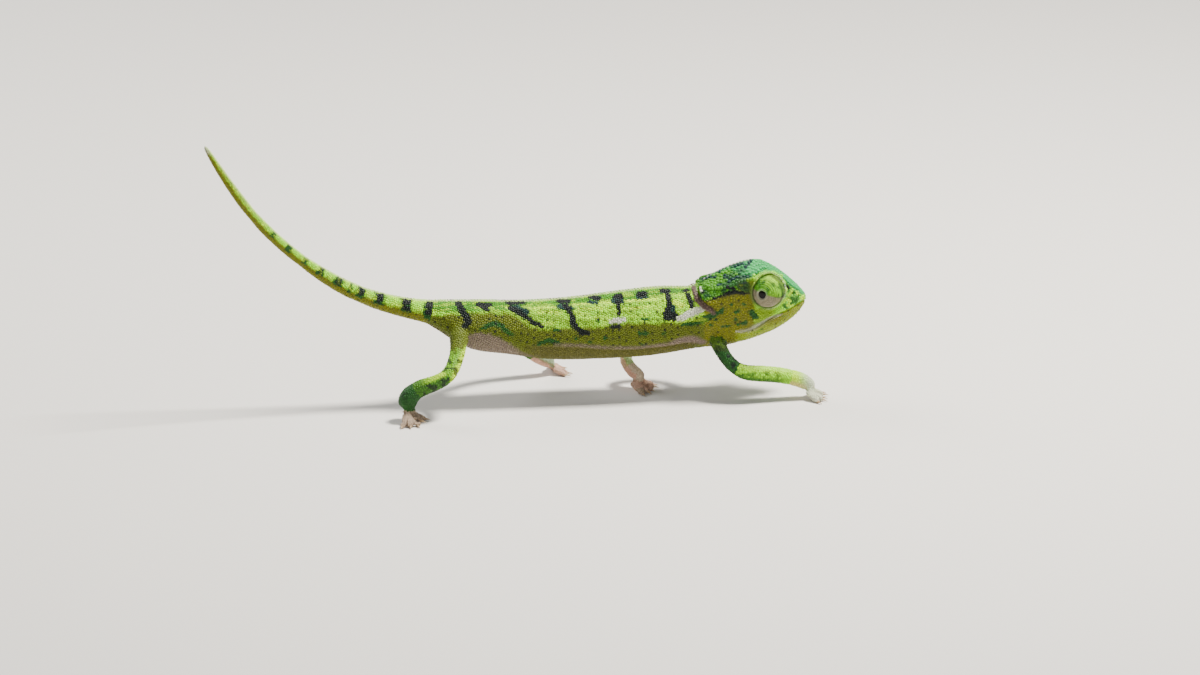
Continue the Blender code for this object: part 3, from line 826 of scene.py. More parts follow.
PINK_STROKES = [
    [(30.4, 7.6, 0.08), (27.7, 7.4, 0.15), (24.7, 6.98, 0.15), (20.9, 6.7, 0.16), (17.2, 6.86, 0.24)],
    [(16.8, 6.9, 0.26), (15.3, 7.3, 0.46), (13.8, 7.3, 0.58), (12.6, 6.8, 0.42)],
]
GROIN = [(41.6, 8.4), (40.9, 8.9), (40.3, 9.2), (39.5, 9.3), (38.4, 9.2), (37.2, 8.8), (36.2, 8.15),
         (35.0, 7.3), (33.9, 6.5), (32.3, 5.6), (30.0, 4.0)]
COLLAR_STROKES = [[(13.56, 13.6, 0.26), (13.54, 13.27, 0.3), (13.5, 12.75, 0.33), (13.3, 12.25, 0.36),
                   (12.61, 11.53, 0.38), (11.75, 11.12, 0.35), (11.45, 10.65, 0.18)]]
YELLOW_STROKES = [
    [(36.0, 11.8, 0.06), (33.8, 11.7, 0.1), (32.0, 11.65, 0.14), (27.8, 11.9, 0.14), (24.9, 12.05, 0.15),
     (21.6, 12.18, 0.16), (18.2, 12.35, 0.16)],
    [(32.6, 11.2, 0.06), (31.0, 11.3, 0.12), (29.5, 11.2, 0.06)], [(16.0, 12.0, 0.3), (15.2, 11.6, 0.4)],
    [(27.5, 11.5, 0.06), (25.5, 11.55, 0.12), (23.5, 11.5, 0.06)], [(22.0, 11.4, 0.1), (19.0, 11.6, 0.14)],
]
SADDLES = [(44.88, 11.94, 0.6), (47.9, 12.28, 0.54), (50.88, 13.47, 0.48),
           (53.11, 14.28, 0.42), (54.3, 14.8, 0.16), (55.69, 15.59, 0.36), (57.79, 16.89, 0.32),
           (59.66, 18.18, 0.24), (61.51, 19.83, 0.18), (63.2, 21.6, 0.13)]
FAR_SIDE_SHIFT = 0.85    # how much further back the far flank wears its marks
# The edge of the lower flank's olive. Below it the colour is partly the flank's own and partly painted shade
# where the flank curves away from the light.
OLIVE_SHADE_EDGE = [(43.5, 11.3), (40.3, 11.55), (36.8, 11.45), (35.6, 11.4), (34.5, 10.64), (33.3, 9.93),
              (31.9, 9.55), (28.5, 9.57), (24.4, 9.66), (21.8, 9.92), (18.8, 9.72), (12.0, 9.55)]
BAND_EDGE = [(44.2, 11.7), (40.3, 11.7), (36.8, 11.64), (33.8, 11.75), (29.6, 11.83), (27.8, 11.97),
             (24.85, 12.11), (21.6, 12.25), (18.2, 12.46), (13.5, 12.9)]
MINT_EDGE = [(13.3, 14.0), (12.2, 14.2), (10.76, 14.85), (9.1, 15.4), (8.4, 15.1), (7.68, 14.73),
             (6.46, 15.15), (5.21, 15.29), (3.92, 15.01), (3.02, 14.33), (2.44, 13.58),
             (0.87, 12.02), (-0.5, 11.3)]
STRIPE = [(6.0, 12.9), (8.0, 13.1), (8.9, 13.3), (9.7, 13.1), (11.6, 12.5), (13.2, 12.0)]


# %% Laying strokes on the body
def on_side(behind, height):
    """The place on the right flank seen from the side here; the nearest below it if none."""
    for drop in np.arange(0.0, 1.5, 0.05):
        start = Vector((behind_snout(behind), MIDLINE - 14.0, FLOOR + height - drop))
        hit = SKIN_TREE.ray_cast(start, Vector((0.0, 1.0, 0.0)), 14.0)
        if hit[0] is not None:
            return np.array(hit[0])
    return np.array((behind_snout(behind), MIDLINE, FLOOR + height))


def lay(strokes):
    return [[(*on_side(d, z), w) for d, z, w in stroke] for stroke in strokes]


def near_strokes(points, strokes):
    """For each point, how deep it lies inside the nearest stroke, in millimetres."""
    depth = np.full(len(points), -9.0)
    for stroke in strokes:
        for start, end in zip(stroke[:-1], stroke[1:]):
            start = np.array(start)
            way = np.array(end) - start
            share = (points - start[:3]) @ way[:3] / max(way[:3] @ way[:3], 1e-6)
            share = np.clip(share, 0.0, 1.0)
            dist = np.linalg.norm(points - start[:3] - share[:, None] * way[:3], axis=1)
            depth = np.maximum(depth, start[3] + share * way[3] - dist)
    return depth


def ragged(points, size, seed):
    """Soft noise between -1 and 1, the same at the same place."""
    shift = Vector((seed, 2.0 * seed, 3.0 * seed))
    return np.array([noise.noise(Vector(p) / size + shift) for p in points])


PAINT = {name: lay(strokes) for name, strokes in
         {"ink": INK_STROKES, "teal": TEAL_STROKES, "leaf": LEAF_STROKES, "white": WHITE_STROKES,
          "lip": LIP_STROKES, "pink": PINK_STROKES, "collar": COLLAR_STROKES,
          "yellow": YELLOW_STROKES}.items()}
saddle_places = np.array([(behind_snout(d), MIDLINE, FLOOR + z) for d, z, _ in SADDLES])
SADDLES_ALONG = body_map(saddle_places)[0]


def region_of(points):
    """The name of the solid nearest to each place."""
    return np.array([FLESH_OWNER[FLESH_TREE.find_nearest(Vector(p))[2]] for p in points])


def facing_at(points):
    """The way the skin faces nearest to each place."""
    return np.array([SKIN_TREE.find_nearest(Vector(p))[1] for p in points])


# %% The paint box: one number from 0 to 1 for each colour at each place
COLOURS = ("lower", "band", "mint", "ochre", "olive", "leaf", "yellow", "teal", "pink", "cream",
           "flesh", "collar", "ink")


def is_one_of(region, *starts):
    return np.array([name.startswith(starts) for name in region], float)


def lay_over(masks, name, strength):
    masks[name] = np.maximum(masks[name], strength)


def paint_trunk(masks, points, flat, angle, trunk, rough):
    """Olive below, partly its own colour and partly painted shade where the flank curves under; olive and
    yellow streaks above it, the yellow partly painted highlight; a green band along the back; olive underside
    and pink groin.
    """
    side = np.abs(angle)
    # Olive under the edge: partly the flank's own colour, partly painted shade.
    below = from_line(flat, OLIVE_SHADE_EDGE)[0]
    lay_over(masks, "lower", np.minimum(1.0, 2.0 * trunk) * smoothstep(0.3, -0.3, below + 0.3 * rough))
    rear = smoothstep(25.0, 34.0, flat[:, 0]) * smoothstep(45.0, 40.0, flat[:, 0])
    lay_over(masks, "lower", 0.5 * trunk * rear * smoothstep(0.35, -0.1, rough))
    # Streaks along the rows of scales on the lit flank above the edge: olive ones, and yellow ones that are
    # partly painted highlight.
    rows = ragged(points * np.array((0.2, 1.0, 1.0)), 0.4, 11.0)
    lit = trunk * smoothstep(-0.1, 0.2, below)
    lay_over(masks, "lower", 0.5 * lit * smoothstep(0.05, 0.25, rows))
    lay_over(masks, "yellow", 0.35 * lit * smoothstep(-0.05, -0.25, rows))
    lay_over(masks, "band", trunk * smoothstep(-0.1, 0.1, from_line(flat, BAND_EDGE)[0] + 0.1 * rough))
    under = smoothstep(0.1, -0.25, from_line(flat, BELLY_FOLD)[0]) * smoothstep(35.0, 32.0, flat[:, 0])
    under = np.maximum(under, smoothstep(125.0, 145.0, side))
    lay_over(masks, "olive", trunk * under * smoothstep(12.5, 14.5, flat[:, 0]))
    groin = smoothstep(0.25, -0.25, from_line(flat, GROIN)[0] + 0.25 * rough)
    groin *= smoothstep(42.6, 41.6, flat[:, 0]) * smoothstep(31.5, 36.0, flat[:, 0])
    lay_over(masks, "pink", 0.9 * trunk * groin)


def paint_tail(masks, along, angle, tail, rough):
    """Lime above, ochre below, cream at the very tip and a painted highlight of cream along the top near it;
    the saddles that fade towards the tip are laid by paint_saddles.
    """
    side = np.abs(angle)
    tip = smoothstep(ALONG[-1] - 16.0, ALONG[-1] - 4.0, along)
    under = smoothstep(72.0, 98.0, side + 12.0 * rough)
    lay_over(masks, "ochre", tail * np.maximum(under, 0.6 * tip))
    lay_over(masks, "yellow", 0.4 * tail * smoothstep(0.05, 0.3, rough) * (side < 80.0))
    # Cream along the top of the tail towards its tip: painted highlight. The cream at the very end is the
    # tail's own.
    lay_over(masks, "cream", 0.4 * tail * tip * smoothstep(60.0, 20.0, side))
    lay_over(masks, "cream", 0.6 * tail * smoothstep(ALONG[-1] - 1.6, ALONG[-1] - 0.4, along))


def paint_saddles(masks, along, angle, tail, shift, rough):
    side = np.abs(angle)
    for centre, (_, _, half) in zip(SADDLES_ALONG, SADDLES):
        off = np.abs(along + 0.5 * shift - centre + 0.35 * rough)
        band = smoothstep(half + 0.1, half - 0.1, off + 0.12 * (side > 80))
        low = smoothstep(112.0, 96.0, side + 20.0 * rough)
        fade = smoothstep(0.1, 0.5, half)
        lay_over(masks, "leaf", tail * smoothstep(half + 0.3, half, off) * (side > 10) * low)
        patchy = smoothstep(-0.35, 0.05, rough + 0.5 * fade - 0.15)
        lay_over(masks, "ink", tail * band * patchy * (side > 16) * smoothstep(98.0, 84.0, side) * fade)


def markings(points, region):
    """Strength of every colour of the paint box at each place."""
    flat = side_view(points)
    along, angle = body_map(points)
    rough = ragged(points, 0.55, 3.0)
    broad = ragged(points, 1.7, 8.0)
    masks = {name: np.zeros(len(points)) for name in COLOURS}
    edge = 12.3 + 0.9 * smoothstep(10.5, 12.5, flat[:, 1])
    head = is_one_of(region, "head", "lower_jaw", "eyelids", "neck")
    head *= smoothstep(edge + 0.45, edge - 0.45, flat[:, 0] + 0.25 * rough)
    tail = is_one_of(region, "tail")
    trunk = is_one_of(region, "head", "lower_jaw", "neck", "trunk") * (1.0 - head)
    limb = 1.0 - np.clip(head + tail + trunk, 0.0, 1.0)
    paint_trunk(masks, points, flat, angle, trunk, rough)
    paint_tail(masks, along, angle, tail, rough)
    paint_head(masks, points, flat, head, rough, broad)

    near = points.copy()
    near[:, 1] = MIDLINE - np.abs(points[:, 1] - MIDLINE)
    shift = FAR_SIDE_SHIFT * (points[:, 1] > MIDLINE) * smoothstep(14.0, 18.0, flat[:, 0])
    near[:, 0] += shift
    for name, wobble in (("leaf", 0.1), ("yellow", 0.08), ("teal", 0.14), ("ink", 0.11),
                         ("pink", 0.12), ("white", 0.05), ("collar", 0.05)):
        depth = near_strokes(near, PAINT[name]) + wobble * rough
        soft = 0.3 if name == "pink" else 0.08
        laid = smoothstep(-soft, soft, depth) * (1.0 - limb)
        lay_over(masks, "cream" if name == "white" else name, laid)
        if name in ("white", "collar"):
            masks["ink"] *= 1.0 - laid
            masks["teal"] *= 1.0 - laid
    masks["yellow"] *= 1.0 - masks["teal"]
    lip = smoothstep(-0.22, 0.16, near_strokes(near, PAINT["lip"]) + 0.1 * rough) * head
    lay_over(masks, "pink", 0.6 * lip)
    lay_over(masks, "cream", 0.45 * lip)
    paint_saddles(masks, along, angle, tail, shift, rough)
    # A pale line of yellow and cream along the ridge of the back and tail: painted highlight.
    spine = smoothstep(0.36, 0.14, np.abs(points[:, 1] - MIDLINE)) * (np.abs(angle) < 40.0)
    spine *= (trunk + tail) * smoothstep(13.0, 14.0, flat[:, 0])
    lay_over(masks, "yellow", 0.7 * spine)
    lay_over(masks, "cream", 0.45 * spine)
    paint_lids(masks, points)
    paint_limbs(masks, points, flat, region, limb, facing_at(points), rough, broad)
    return {name: np.clip(value, 0.0, 1.0) for name, value in masks.items()}


# %% The head's colours
def paint_head(masks, points, flat, head, rough, broad):
    """Mint on top, mottled casque, mustard cheek and jaw partly painted shade, and painted shade in the
    furrow round each eye.
    """
    behind, height = flat.T
    above_mint = from_line(flat, MINT_EDGE)[0]
    above_stripe = from_line(flat, STRIPE)[0]
    above_lip = from_line(flat, LIP)[0]
    mint = head * smoothstep(-0.15, 0.2, above_mint + 0.15 * rough)
    lay_over(masks, "mint", mint)
    casque = head * smoothstep(6.6, 7.4, behind) * smoothstep(-0.1, 0.2, above_stripe)
    lay_over(masks, "band", casque)
    blotch = 0.6 * rough + 0.7 * broad
    lay_over(masks, "leaf", casque * (0.12 + 0.7 * smoothstep(-0.05, 0.14, blotch)))
    high = np.maximum(0.35, np.maximum(smoothstep(9.6, 10.8, behind), smoothstep(14.4, 15.0, height)))
    lay_over(masks, "teal", 0.9 * casque * high * smoothstep(0.16, 0.3, blotch - 0.05 * mint))
    on_top = head * mint * smoothstep(5.0, 6.5, behind)
    lay_over(masks, "teal", 0.6 * on_top * smoothstep(0.12, 0.34, broad + 0.4 * rough))
    snout = head * (1.0 - mint) * smoothstep(3.4, 2.8, behind) * smoothstep(0.0, 0.1, above_lip)
    # Yellow on the snout: partly its own speckles, partly painted highlight.
    lay_over(masks, "yellow", 0.6 * snout * smoothstep(0.05, -0.15, rough))
    lay_over(masks, "mint", 0.45 * snout * smoothstep(-0.1, 0.1, rough))
    lay_over(masks, "leaf", 0.85 * snout * smoothstep(0.2, 0.36, rough + 0.2 * broad))
    cheek = np.minimum(1.0, 2.0 * head) * smoothstep(5.8, 7.0, behind + 0.3 * rough)
    cheek *= smoothstep(0.15, -0.1, above_stripe)
    back_of_eye = head * smoothstep(8.9, 8.3, behind) * smoothstep(6.2, 6.8, behind)
    back_of_eye *= smoothstep(14.9, 14.3, height) * smoothstep(12.6, 12.9, height)
    under_eye = 0.65 * head * smoothstep(11.3, 10.8, height) * smoothstep(3.6, 4.6, behind)
    jaw = head * smoothstep(0.0, -0.12, above_lip) * smoothstep(9.2, 8.0, behind)
    # The ochre of cheek, jaw and lower head: partly the head's own mustard, partly painted shade of the lower
    # head.
    lay_over(masks, "ochre", np.maximum(np.maximum(cheek, jaw), np.maximum(0.8 * back_of_eye, under_eye)))
    chin = jaw * smoothstep(4.0, 1.5, behind)
    lay_over(masks, "yellow", 0.2 * chin + 0.25 * jaw * smoothstep(9.5, 8.0, height))
    for centre, radius in EYE_BALLS.values():
        off = points - centre
        dist = np.linalg.norm(off, axis=1) - radius
        front = smoothstep(-0.5, 0.6, off[:, 0] / radius)
        top = smoothstep(0.2, 0.9, off[:, 2] / radius)
        ring = head * bump(dist - 0.12, 0.14)
        lay_over(masks, "cream", ring * np.clip(0.1 + 0.5 * front + 0.1 * top, 0.0, 0.7))
        lay_over(masks, "yellow", 0.7 * ring * top)
        # Near black in the furrow at each turret's base: painted shade.
        furrow_shade = head * bump(dist + 0.06, 0.17)
        shade = head * bump(dist - 0.1, 0.34) * (1.0 - front)
        lay_over(masks, "leaf", 0.5 * shade)
        lay_over(masks, "ink", furrow_shade)


def paint_lids(masks, points):
    """Bright green above the pupil, beige below, a pale rim and a dark fold ahead of it, and painted shade
    where the lids turn under into the head.
    """
    for side, (centre, radius) in EYE_BALLS.items():
        off = points - centre
        dist = np.linalg.norm(off, axis=1)
        on_lid = smoothstep(radius - 0.02, radius - 0.07, dist)
        angle = angle_from_gaze(off, side, dist)
        for name in masks:
            masks[name] = masks[name] * (1.0 - on_lid)
        level = (off[:, 2] + 0.3 * off[:, 0]) / radius
        low = smoothstep(0.04, -0.1, level)
        rim = bump(angle - OPENING - 0.5, 4.0)
        cloud = ragged(points, 0.5, 5.0)
        ahead = smoothstep(0.1, 0.7, off[:, 0] / radius)
        masks["ochre"] += on_lid * low
        masks["pink"] += on_lid * 0.72 * low * (1.0 - 0.7 * ahead)
        masks["cream"] += on_lid * np.clip(0.12 * low + 0.35 * rim, 0.0, 0.6)
        masks["band"] += on_lid * (1.0 - low) * (0.4 + 0.55 * smoothstep(0.3, -0.6, off[:, 0] / radius))
        masks["leaf"] += on_lid * (1.0 - low) * (0.1 + 0.65 * smoothstep(0.0, 0.3, cloud))
        masks["yellow"] += on_lid * 0.3 * (1.0 - low) * smoothstep(0.5, 0.95, level - 0.3 * cloud)
        fold = bump(level + 0.02, 0.07) * smoothstep(0.0, 0.3, off[:, 0] / radius)
        masks["ink"] += on_lid * 0.6 * fold * smoothstep(OPENING + 4.0, OPENING + 9.0, angle)
        # Dark where the lids turn under into the head: painted shade.
        masks["ink"] += on_lid * 0.7 * smoothstep(82.0, 92.0, angle)


# %% The limbs' colours
def paint_limbs(masks, points, flat, region, limb, facing, rough, broad):
    """Flank colours at the roots, green with dark bars below, pale hands, flesh-pink toes; tops and fronts
    facing the light are partly painted light, faces turned down or away partly painted shade.
    """
    right = (points[:, 1] < MIDLINE).astype(float)
    ahead, _, up = facing.T
    height = flat[:, 1]
    arm = is_one_of(region, "upper_arm")
    forearm = is_one_of(region, "forearm")
    toes = is_one_of(region, *TOES)
    hand = is_one_of(region, "hand") * (1.0 - toes)
    thigh = is_one_of(region, "thigh")
    shank = is_one_of(region, "shank")
    foot = is_one_of(region, "foot") * (1.0 - toes)
    bars = smoothstep(0.05, 0.22, rough + 0.3 * broad)
    # At their roots the limbs take the lower flank's olive, partly painted shade. The added olive on faces
    # turned down and on the top of the thigh is painted shade, where the body shades the limb.
    root = arm * smoothstep(5.6, 6.6, height) + thigh * smoothstep(7.4, 8.2, height + 0.4 * rough)
    lay_over(masks, "lower", 0.9 * root)
    lay_over(masks, "olive", root * (0.4 * smoothstep(0.2, -0.4, up) + 0.45 * thigh))
    free = 1.0 - root
    lay_over(masks, "leaf", 0.55 * arm + free * (0.95 * arm + 0.5 * thigh))
    # Darker green on the shank's sides and underside: partly painted shade.
    lay_over(masks, "leaf", shank * (0.5 + 0.4 * (up < 0.4)))
    lay_over(masks, "ink", 0.6 * arm * bars)
    lay_over(masks, "leaf", foot * (0.85 + 0.15 * right))
    before_wrist = 1.0 - right * smoothstep(behind_snout(4.4), behind_snout(2.0), points[:, 0])
    # Darker green on the forearm's underside: partly painted shade.
    lay_over(masks, "leaf", 0.9 * forearm * before_wrist * smoothstep(0.0, -0.6, up + 0.6 * rough))
    lay_over(masks, "leaf", 0.75 * forearm * before_wrist * bars * smoothstep(0.95, 0.5, up))
    lay_over(masks, "ink", free * 0.85 * (arm + thigh + 0.9 * shank * (up < 0.5)) * bars)
    lay_over(masks, "ink", 0.5 * foot * bars * smoothstep(2.6, 3.2, height))
    # Yellow on the forearm's top, the thigh's front and the shank's top, which face the light: partly painted
    # light.
    lay_over(masks, "yellow", 0.35 * forearm * smoothstep(0.2, 0.7, up))
    lay_over(masks, "yellow", free * 0.9 * thigh * smoothstep(0.3, 0.7, ahead))
    above_foot = np.maximum(1.0 - right, smoothstep(47.0, 44.2, flat[:, 0]))
    lay_over(masks, "yellow", 0.6 * shank * smoothstep(0.45, 0.8, up) * above_foot)
    lay_over(masks, "leaf", shank * 0.85 * (1.0 - above_foot))
    wrist = forearm * smoothstep(behind_snout(1.6), behind_snout(-0.2), points[:, 0]) * right
    reach = smoothstep(behind_snout(1.9), behind_snout(-0.2), points[:, 0])
    # Cream on the near hand, the top of its wrist and the top of the forearm: partly their own pale colour,
    # partly painted highlight.
    lay_over(masks, "yellow", hand * right * 0.8 * (1.0 - reach))
    lay_over(masks, "cream", 0.1 * forearm * smoothstep(0.75, 0.95, up))
    lay_over(masks, "cream", 0.9 * wrist * smoothstep(-0.4, 0.1, up))
    lay_over(masks, "cream", hand * (0.92 * right * reach + 0.5 * (1.0 - right) * (up > 0.1)))
    lay_over(masks, "flesh", 0.6 * (hand + wrist) * right * smoothstep(0.1, -0.5, up))
    far = 1.0 - right
    lay_over(masks, "band", 0.7 * far * (0.4 * hand + forearm))
    # On the far limbs, cream on the faces turned to the light is painted light, and flesh on the faces turned
    # away is partly painted shade.
    lit = smoothstep(-0.2, 0.5, ahead + up)
    lay_over(masks, "cream", 0.5 * far * (forearm + shank + foot + hand) * lit)
    lay_over(masks, "flesh", far * (0.85 * forearm + hand + foot) * smoothstep(0.3, -0.3, ahead + up))
    lay_over(masks, "cream", 0.9 * far * hand)
    lay_over(masks, "flesh", 0.55 * far * hand)
    # Dark brown in the furrows between the toes: painted shade.
    lay_over(masks, "collar", 0.7 * toes * between_toes(points))
    # The near hand's toes are laid paler cream: partly their own colour, partly painted highlight.
    pale = is_one_of(region, "hand_right") * toes
    lay_over(masks, "pink", 0.95 * toes * (1.0 - pale))
    lay_over(masks, "flesh", toes * (0.3 + 0.45 * far - 0.2 * pale))
    lay_over(masks, "cream", toes * (0.15 + 0.2 * far + 0.78 * pale))
    sole = limb * smoothstep(0.8, 0.3, height)
    lay_over(masks, "pink", 0.6 * sole)
    for name in ("ink", "leaf", "lower", "yellow", "olive"):
        masks[name] = masks[name] * (1.0 - np.maximum(toes, sole * limb))
    masks["leaf"] *= 1.0 - 0.9 * hand * right
    masks["ink"] *= 1.0 - hand


# %% [markdown]
# ## Roots for the scales
#
# Trunk and tail carry their scales in rings, staggered like bricks and counted outward from the
# spine. The lids carry them in rings about the opening, the lips in single rows. Everywhere else
# they are scattered as closely as they fit and then pushed apart until the gaps are even.

# %% A list of roots
FACE_POINTS = places(skin)
FACES = [tuple(face.vertices) for face in skin.data.polygons]
FACE_LOOPS = [face.loop_start for face in skin.data.polygons]
LOOP_UV = fetch(skin.data.uv_layers[UV_NAME].data, "uv", 2)


class Roots:
    """Places of scales with their headings and sizes, in millimetres."""

    def __init__(self):
        self.rows = []

    def add(self, place, way, size, height, stretch=1.0, kind=0, dot=0.0, reach=0.45):
        """Root a scale on the skin nearest to the place; refuse it if the skin is too far."""
        spot_, normal, face, dist = SKIN_TREE.find_nearest(Vector(place))
        if dist > reach:
            return
        self.rows.append((*spot_, *normal, *way, size, height, stretch, kind, dot, face))

    def array(self):
        return np.array(self.rows)


PLACE, NORMAL, WAY = slice(0, 3), slice(3, 6), slice(6, 9)
SIZE, HEIGHT, STRETCH, KIND, DOT, FACE = range(9, 15)
BEAD, CONE = 0, 1
roots = Roots()


# %% Rings on the lids
LID_PITCH = 0.185        # from one scale of the lids to the next


def lid_roots():
    for side, (centre, radius) in EYE_BALLS.items():
        gaze = Vector(GAZE[side])
        across = gaze.orthogonal().normalized()
        other = gaze.cross(across)
        step = math.degrees(LID_PITCH * 0.9 / radius)
        angle = OPENING + 2.5
        ring = 0
        while angle < 118.0:
            count = max(8, round(2 * math.pi * radius * math.sin(math.radians(angle)) / LID_PITCH))
            for i in range(count):
                turn = 2 * math.pi * (i + 0.5 * (ring % 2)) / count
                out = across * math.cos(turn) + other * math.sin(turn)
                ray = gaze * math.cos(math.radians(angle)) + out * math.sin(math.radians(angle))
                size = LID_PITCH * (0.8 if ring == 0 else 1.0)
                roots.add(Vector(centre) + ray * radius, out, size, 0.05, reach=0.2)
            ring += 1
            angle += step


# %% Rows along the lips and crests
def row_on_side(line, pitch, size, height, lift):
    """Scales one after another along a drawn line, on both sides."""
    line = np.array(line)
    lengths = run_along(line)
    for distance in np.arange(pitch / 2, lengths[-1], pitch):
        behind = np.interp(distance, lengths, line[:, 0])
        up = np.interp(distance, lengths, line[:, 1]) + lift
        for side in (-1.0, 1.0):
            start = Vector((behind_snout(behind), MIDLINE + side * 9.0, FLOOR + up))
            hit = SKIN_TREE.ray_cast(start, Vector((0.0, -side, 0.0)), 8.9)
            if hit[0] is not None and abs(hit[1].y) > 0.25:
                roots.add(hit[0], (-1.0, 0.0, 0.0), size, height)


def median_crest(first, last, pitch, size, height, below):
    """Small cones along the midline of the back, or of the throat and belly."""
    for behind in np.arange(first, last, pitch):
        start = Vector((behind_snout(behind), MIDLINE, FLOOR + (-2.0 if below else 45.0)))
        hit = SKIN_TREE.ray_cast(start, Vector((0.0, 0.0, 1.0 if below else -1.0)), 60.0)
        if hit[0] is not None:
            fade = 1.0 - 0.6 * (behind - first) / (last - first)
            roots.add(hit[0], (-1.0, 0.0, 0.0), size * (0.6 + 0.4 * fade), height * fade, 1.25, CONE)


lid_roots()
for line, pitch, size, height, lift in ((LIP[1:-1], 0.27, 0.27, 0.07, 0.27),
                                        (LIP[1:-1], 0.27, 0.27, 0.07, -0.27),
                                        (BROW, 0.34, 0.36, 0.12, 0.0),
                                        (TEMPLE, 0.36, 0.38, 0.13, 0.0)):
    row_on_side(line, pitch, size, height, lift)
for first, last, pitch, size, height, below in ((7.0, 12.6, 0.4, 0.36, 0.12, False),
                                                (13.5, 62.0, 0.36, 0.3, 0.24, False),
                                                (0.8, 13.4, 0.36, 0.26, 0.2, True),
                                                (14.0, 41.0, 0.36, 0.24, 0.1, True)):
    median_crest(first, last, pitch, size, height, below)
special = len(roots.rows)
print(f"{special} scales on lids, lips and crests")


# %% Rings on trunk and tail
def clear_of(tree, place, size, share=0.8):
    """True if no scale already in the tree is too near."""
    found, index, dist = tree.find(Vector(place))
    return found is None or dist > share * 0.5 * (size + tree_sizes[index])


def tree_of_roots():
    return kd_tree([row[PLACE] for row in roots.rows]), [row[SIZE] for row in roots.rows]


def ring_roots(index):
    place, up = FRAMES[index]
    way = on_middle(STATIONS[index])[1]
    rays = np.outer(np.cos(TURNS), up)
    rays[:, 1] += np.sin(TURNS)
    ring = place + rays * REACH[index][:, None]
    dots_here = index % 3 == 0
    for side in (1, -1):
        half = ring[[side * j % RAYS for j in range(RAYS // 2 + 1)]]
        half = half[~np.isnan(half[:, 0])]
        arc = run_along(half)
        pitch = min(0.3, max(0.2, 0.17 + arc[-1] * 0.024))
        count = max(4, round(arc[-1] / pitch))
        for k in range(count + 1):
            share = (k + 0.5 * (index % 2)) / count
            if share > 1.0 or (side < 0 and (share == 0.0 or share == 1.0)):
                continue
            run = share * arc[-1] + 0.05 * math.sin(12.9 * k + 7.8 * index)
            target = np.array([np.interp(run, arc, half[:, i]) for i in range(3)])
            target += way * 0.045 * math.sin(4.1 * k + 9.7 * index)
            size = arc[-1] / count * 1.04
            if clear_of(special_tree, target, size):
                picked = (k + index // 3) % 3 == 0 and (7 * k + 13 * index) % 10 > 2
                dot = float(dots_here and picked)
                stretch = max(1.0, ROW * 1.12 / size)
                roots.add(target, way, size, 0.3 * size, stretch, BEAD, dot, reach=0.25)


special_tree, tree_sizes = tree_of_roots()
for index in range(len(STATIONS)):
    ring_roots(index)
ringed = len(roots.rows)
print(f"{ringed - special} scales in rings on trunk and tail")


# %% Scatter over the head and limbs
rng = np.random.default_rng(7)


def wanted_spacing(points, region):
    flat = side_view(points)
    spacing = np.full(len(points), 0.26)
    head = is_one_of(region, "head", "eyelids") > 0
    crest, _ = from_line(flat, BROW + TEMPLE[1:])
    spacing[head] = 0.31
    spacing[head & (crest > 0.1) & (flat[:, 0] < 12.2)] = 0.41
    spacing[head & (flat[:, 0] < 2.6)] = 0.3
    spacing[is_one_of(region, "lower_jaw") > 0] = 0.27
    spacing[is_one_of(region, "neck") > 0] = 0.29
    spacing[is_one_of(region, "hand", "foot") > 0] = 0.21
    spacing[is_one_of(region, *TOES) > 0] = 0.18
    for centre, radius in EYE_BALLS.values():
        dist = np.linalg.norm(points - centre, axis=1)
        spacing[dist < radius + 0.72] = 0.2
    return spacing


MIDDLES = fetch(skin.data.polygons, "center", 3) / MM
AREAS = fetch(skin.data.polygons, "area", 1)[:, 0] / MM ** 2
FACE_REGION = region_of(MIDDLES)
FACE_SPACING = wanted_spacing(MIDDLES, FACE_REGION)


def bare_faces():
    """Faces that no lid, lip, crest or ring scale reaches, and that should carry scales."""
    tree, _ = tree_of_roots()
    bare = np.array([tree.find(Vector(p))[2] for p in MIDDLES]) > 0.17
    lip = np.abs(from_line(side_view(MIDDLES), LIP)[0])
    bare &= ~((lip < 0.1) & (MIDDLES[:, 0] > behind_snout(7.5)))
    for side, (centre, radius) in EYE_BALLS.items():
        bare &= np.linalg.norm(MIDDLES - centre - GAZE[side] * radius, axis=1) > 0.62
    bare &= (MIDDLES[:, 2] - FLOOR) > 0.16
    return bare


def scatter():
    """Throw darts at the bare skin; keep each that lands far enough from all before it."""
    bare = bare_faces()
    weight = AREAS * bare / FACE_SPACING ** 2
    throws = int(weight.sum() * 9.0)
    faces = rng.choice(len(FACES), throws, p=weight / weight.sum())
    cell = 0.42
    grid = {}
    for row in roots.rows:
        key = tuple(int(math.floor(c / cell)) for c in row[:3])
        grid.setdefault(key, []).append((row[0], row[1], row[2], row[SIZE]))
    shares = rng.random((throws, 2))
    kept = []
    for face, (a, b) in zip(faces, shares):
        corners = FACE_POINTS[list(FACES[face][:4])]
        if len(corners) == 3:
            corners = corners[[0, 1, 2, 2]]
        x, y, z = ((corners[0] * (1 - a) + corners[1] * a) * (1 - b)
                   + (corners[3] * (1 - a) + corners[2] * a) * b)
        spacing = FACE_SPACING[face]
        i, j, k = int(math.floor(x / cell)), int(math.floor(y / cell)), int(math.floor(z / cell))
        crowded = False
        for key in NEIGHBOURS:
            for px, py, pz, size in grid.get((i + key[0], j + key[1], k + key[2]), ()):
                limit = 0.44 * (spacing + size)
                if (x - px) ** 2 + (y - py) ** 2 + (z - pz) ** 2 < limit * limit:
                    crowded = True
                    break
            if crowded:
                break
        if not crowded:
            grid.setdefault((i, j, k), []).append((x, y, z, spacing))
            kept.append((x, y, z, spacing))
    return np.array(kept)


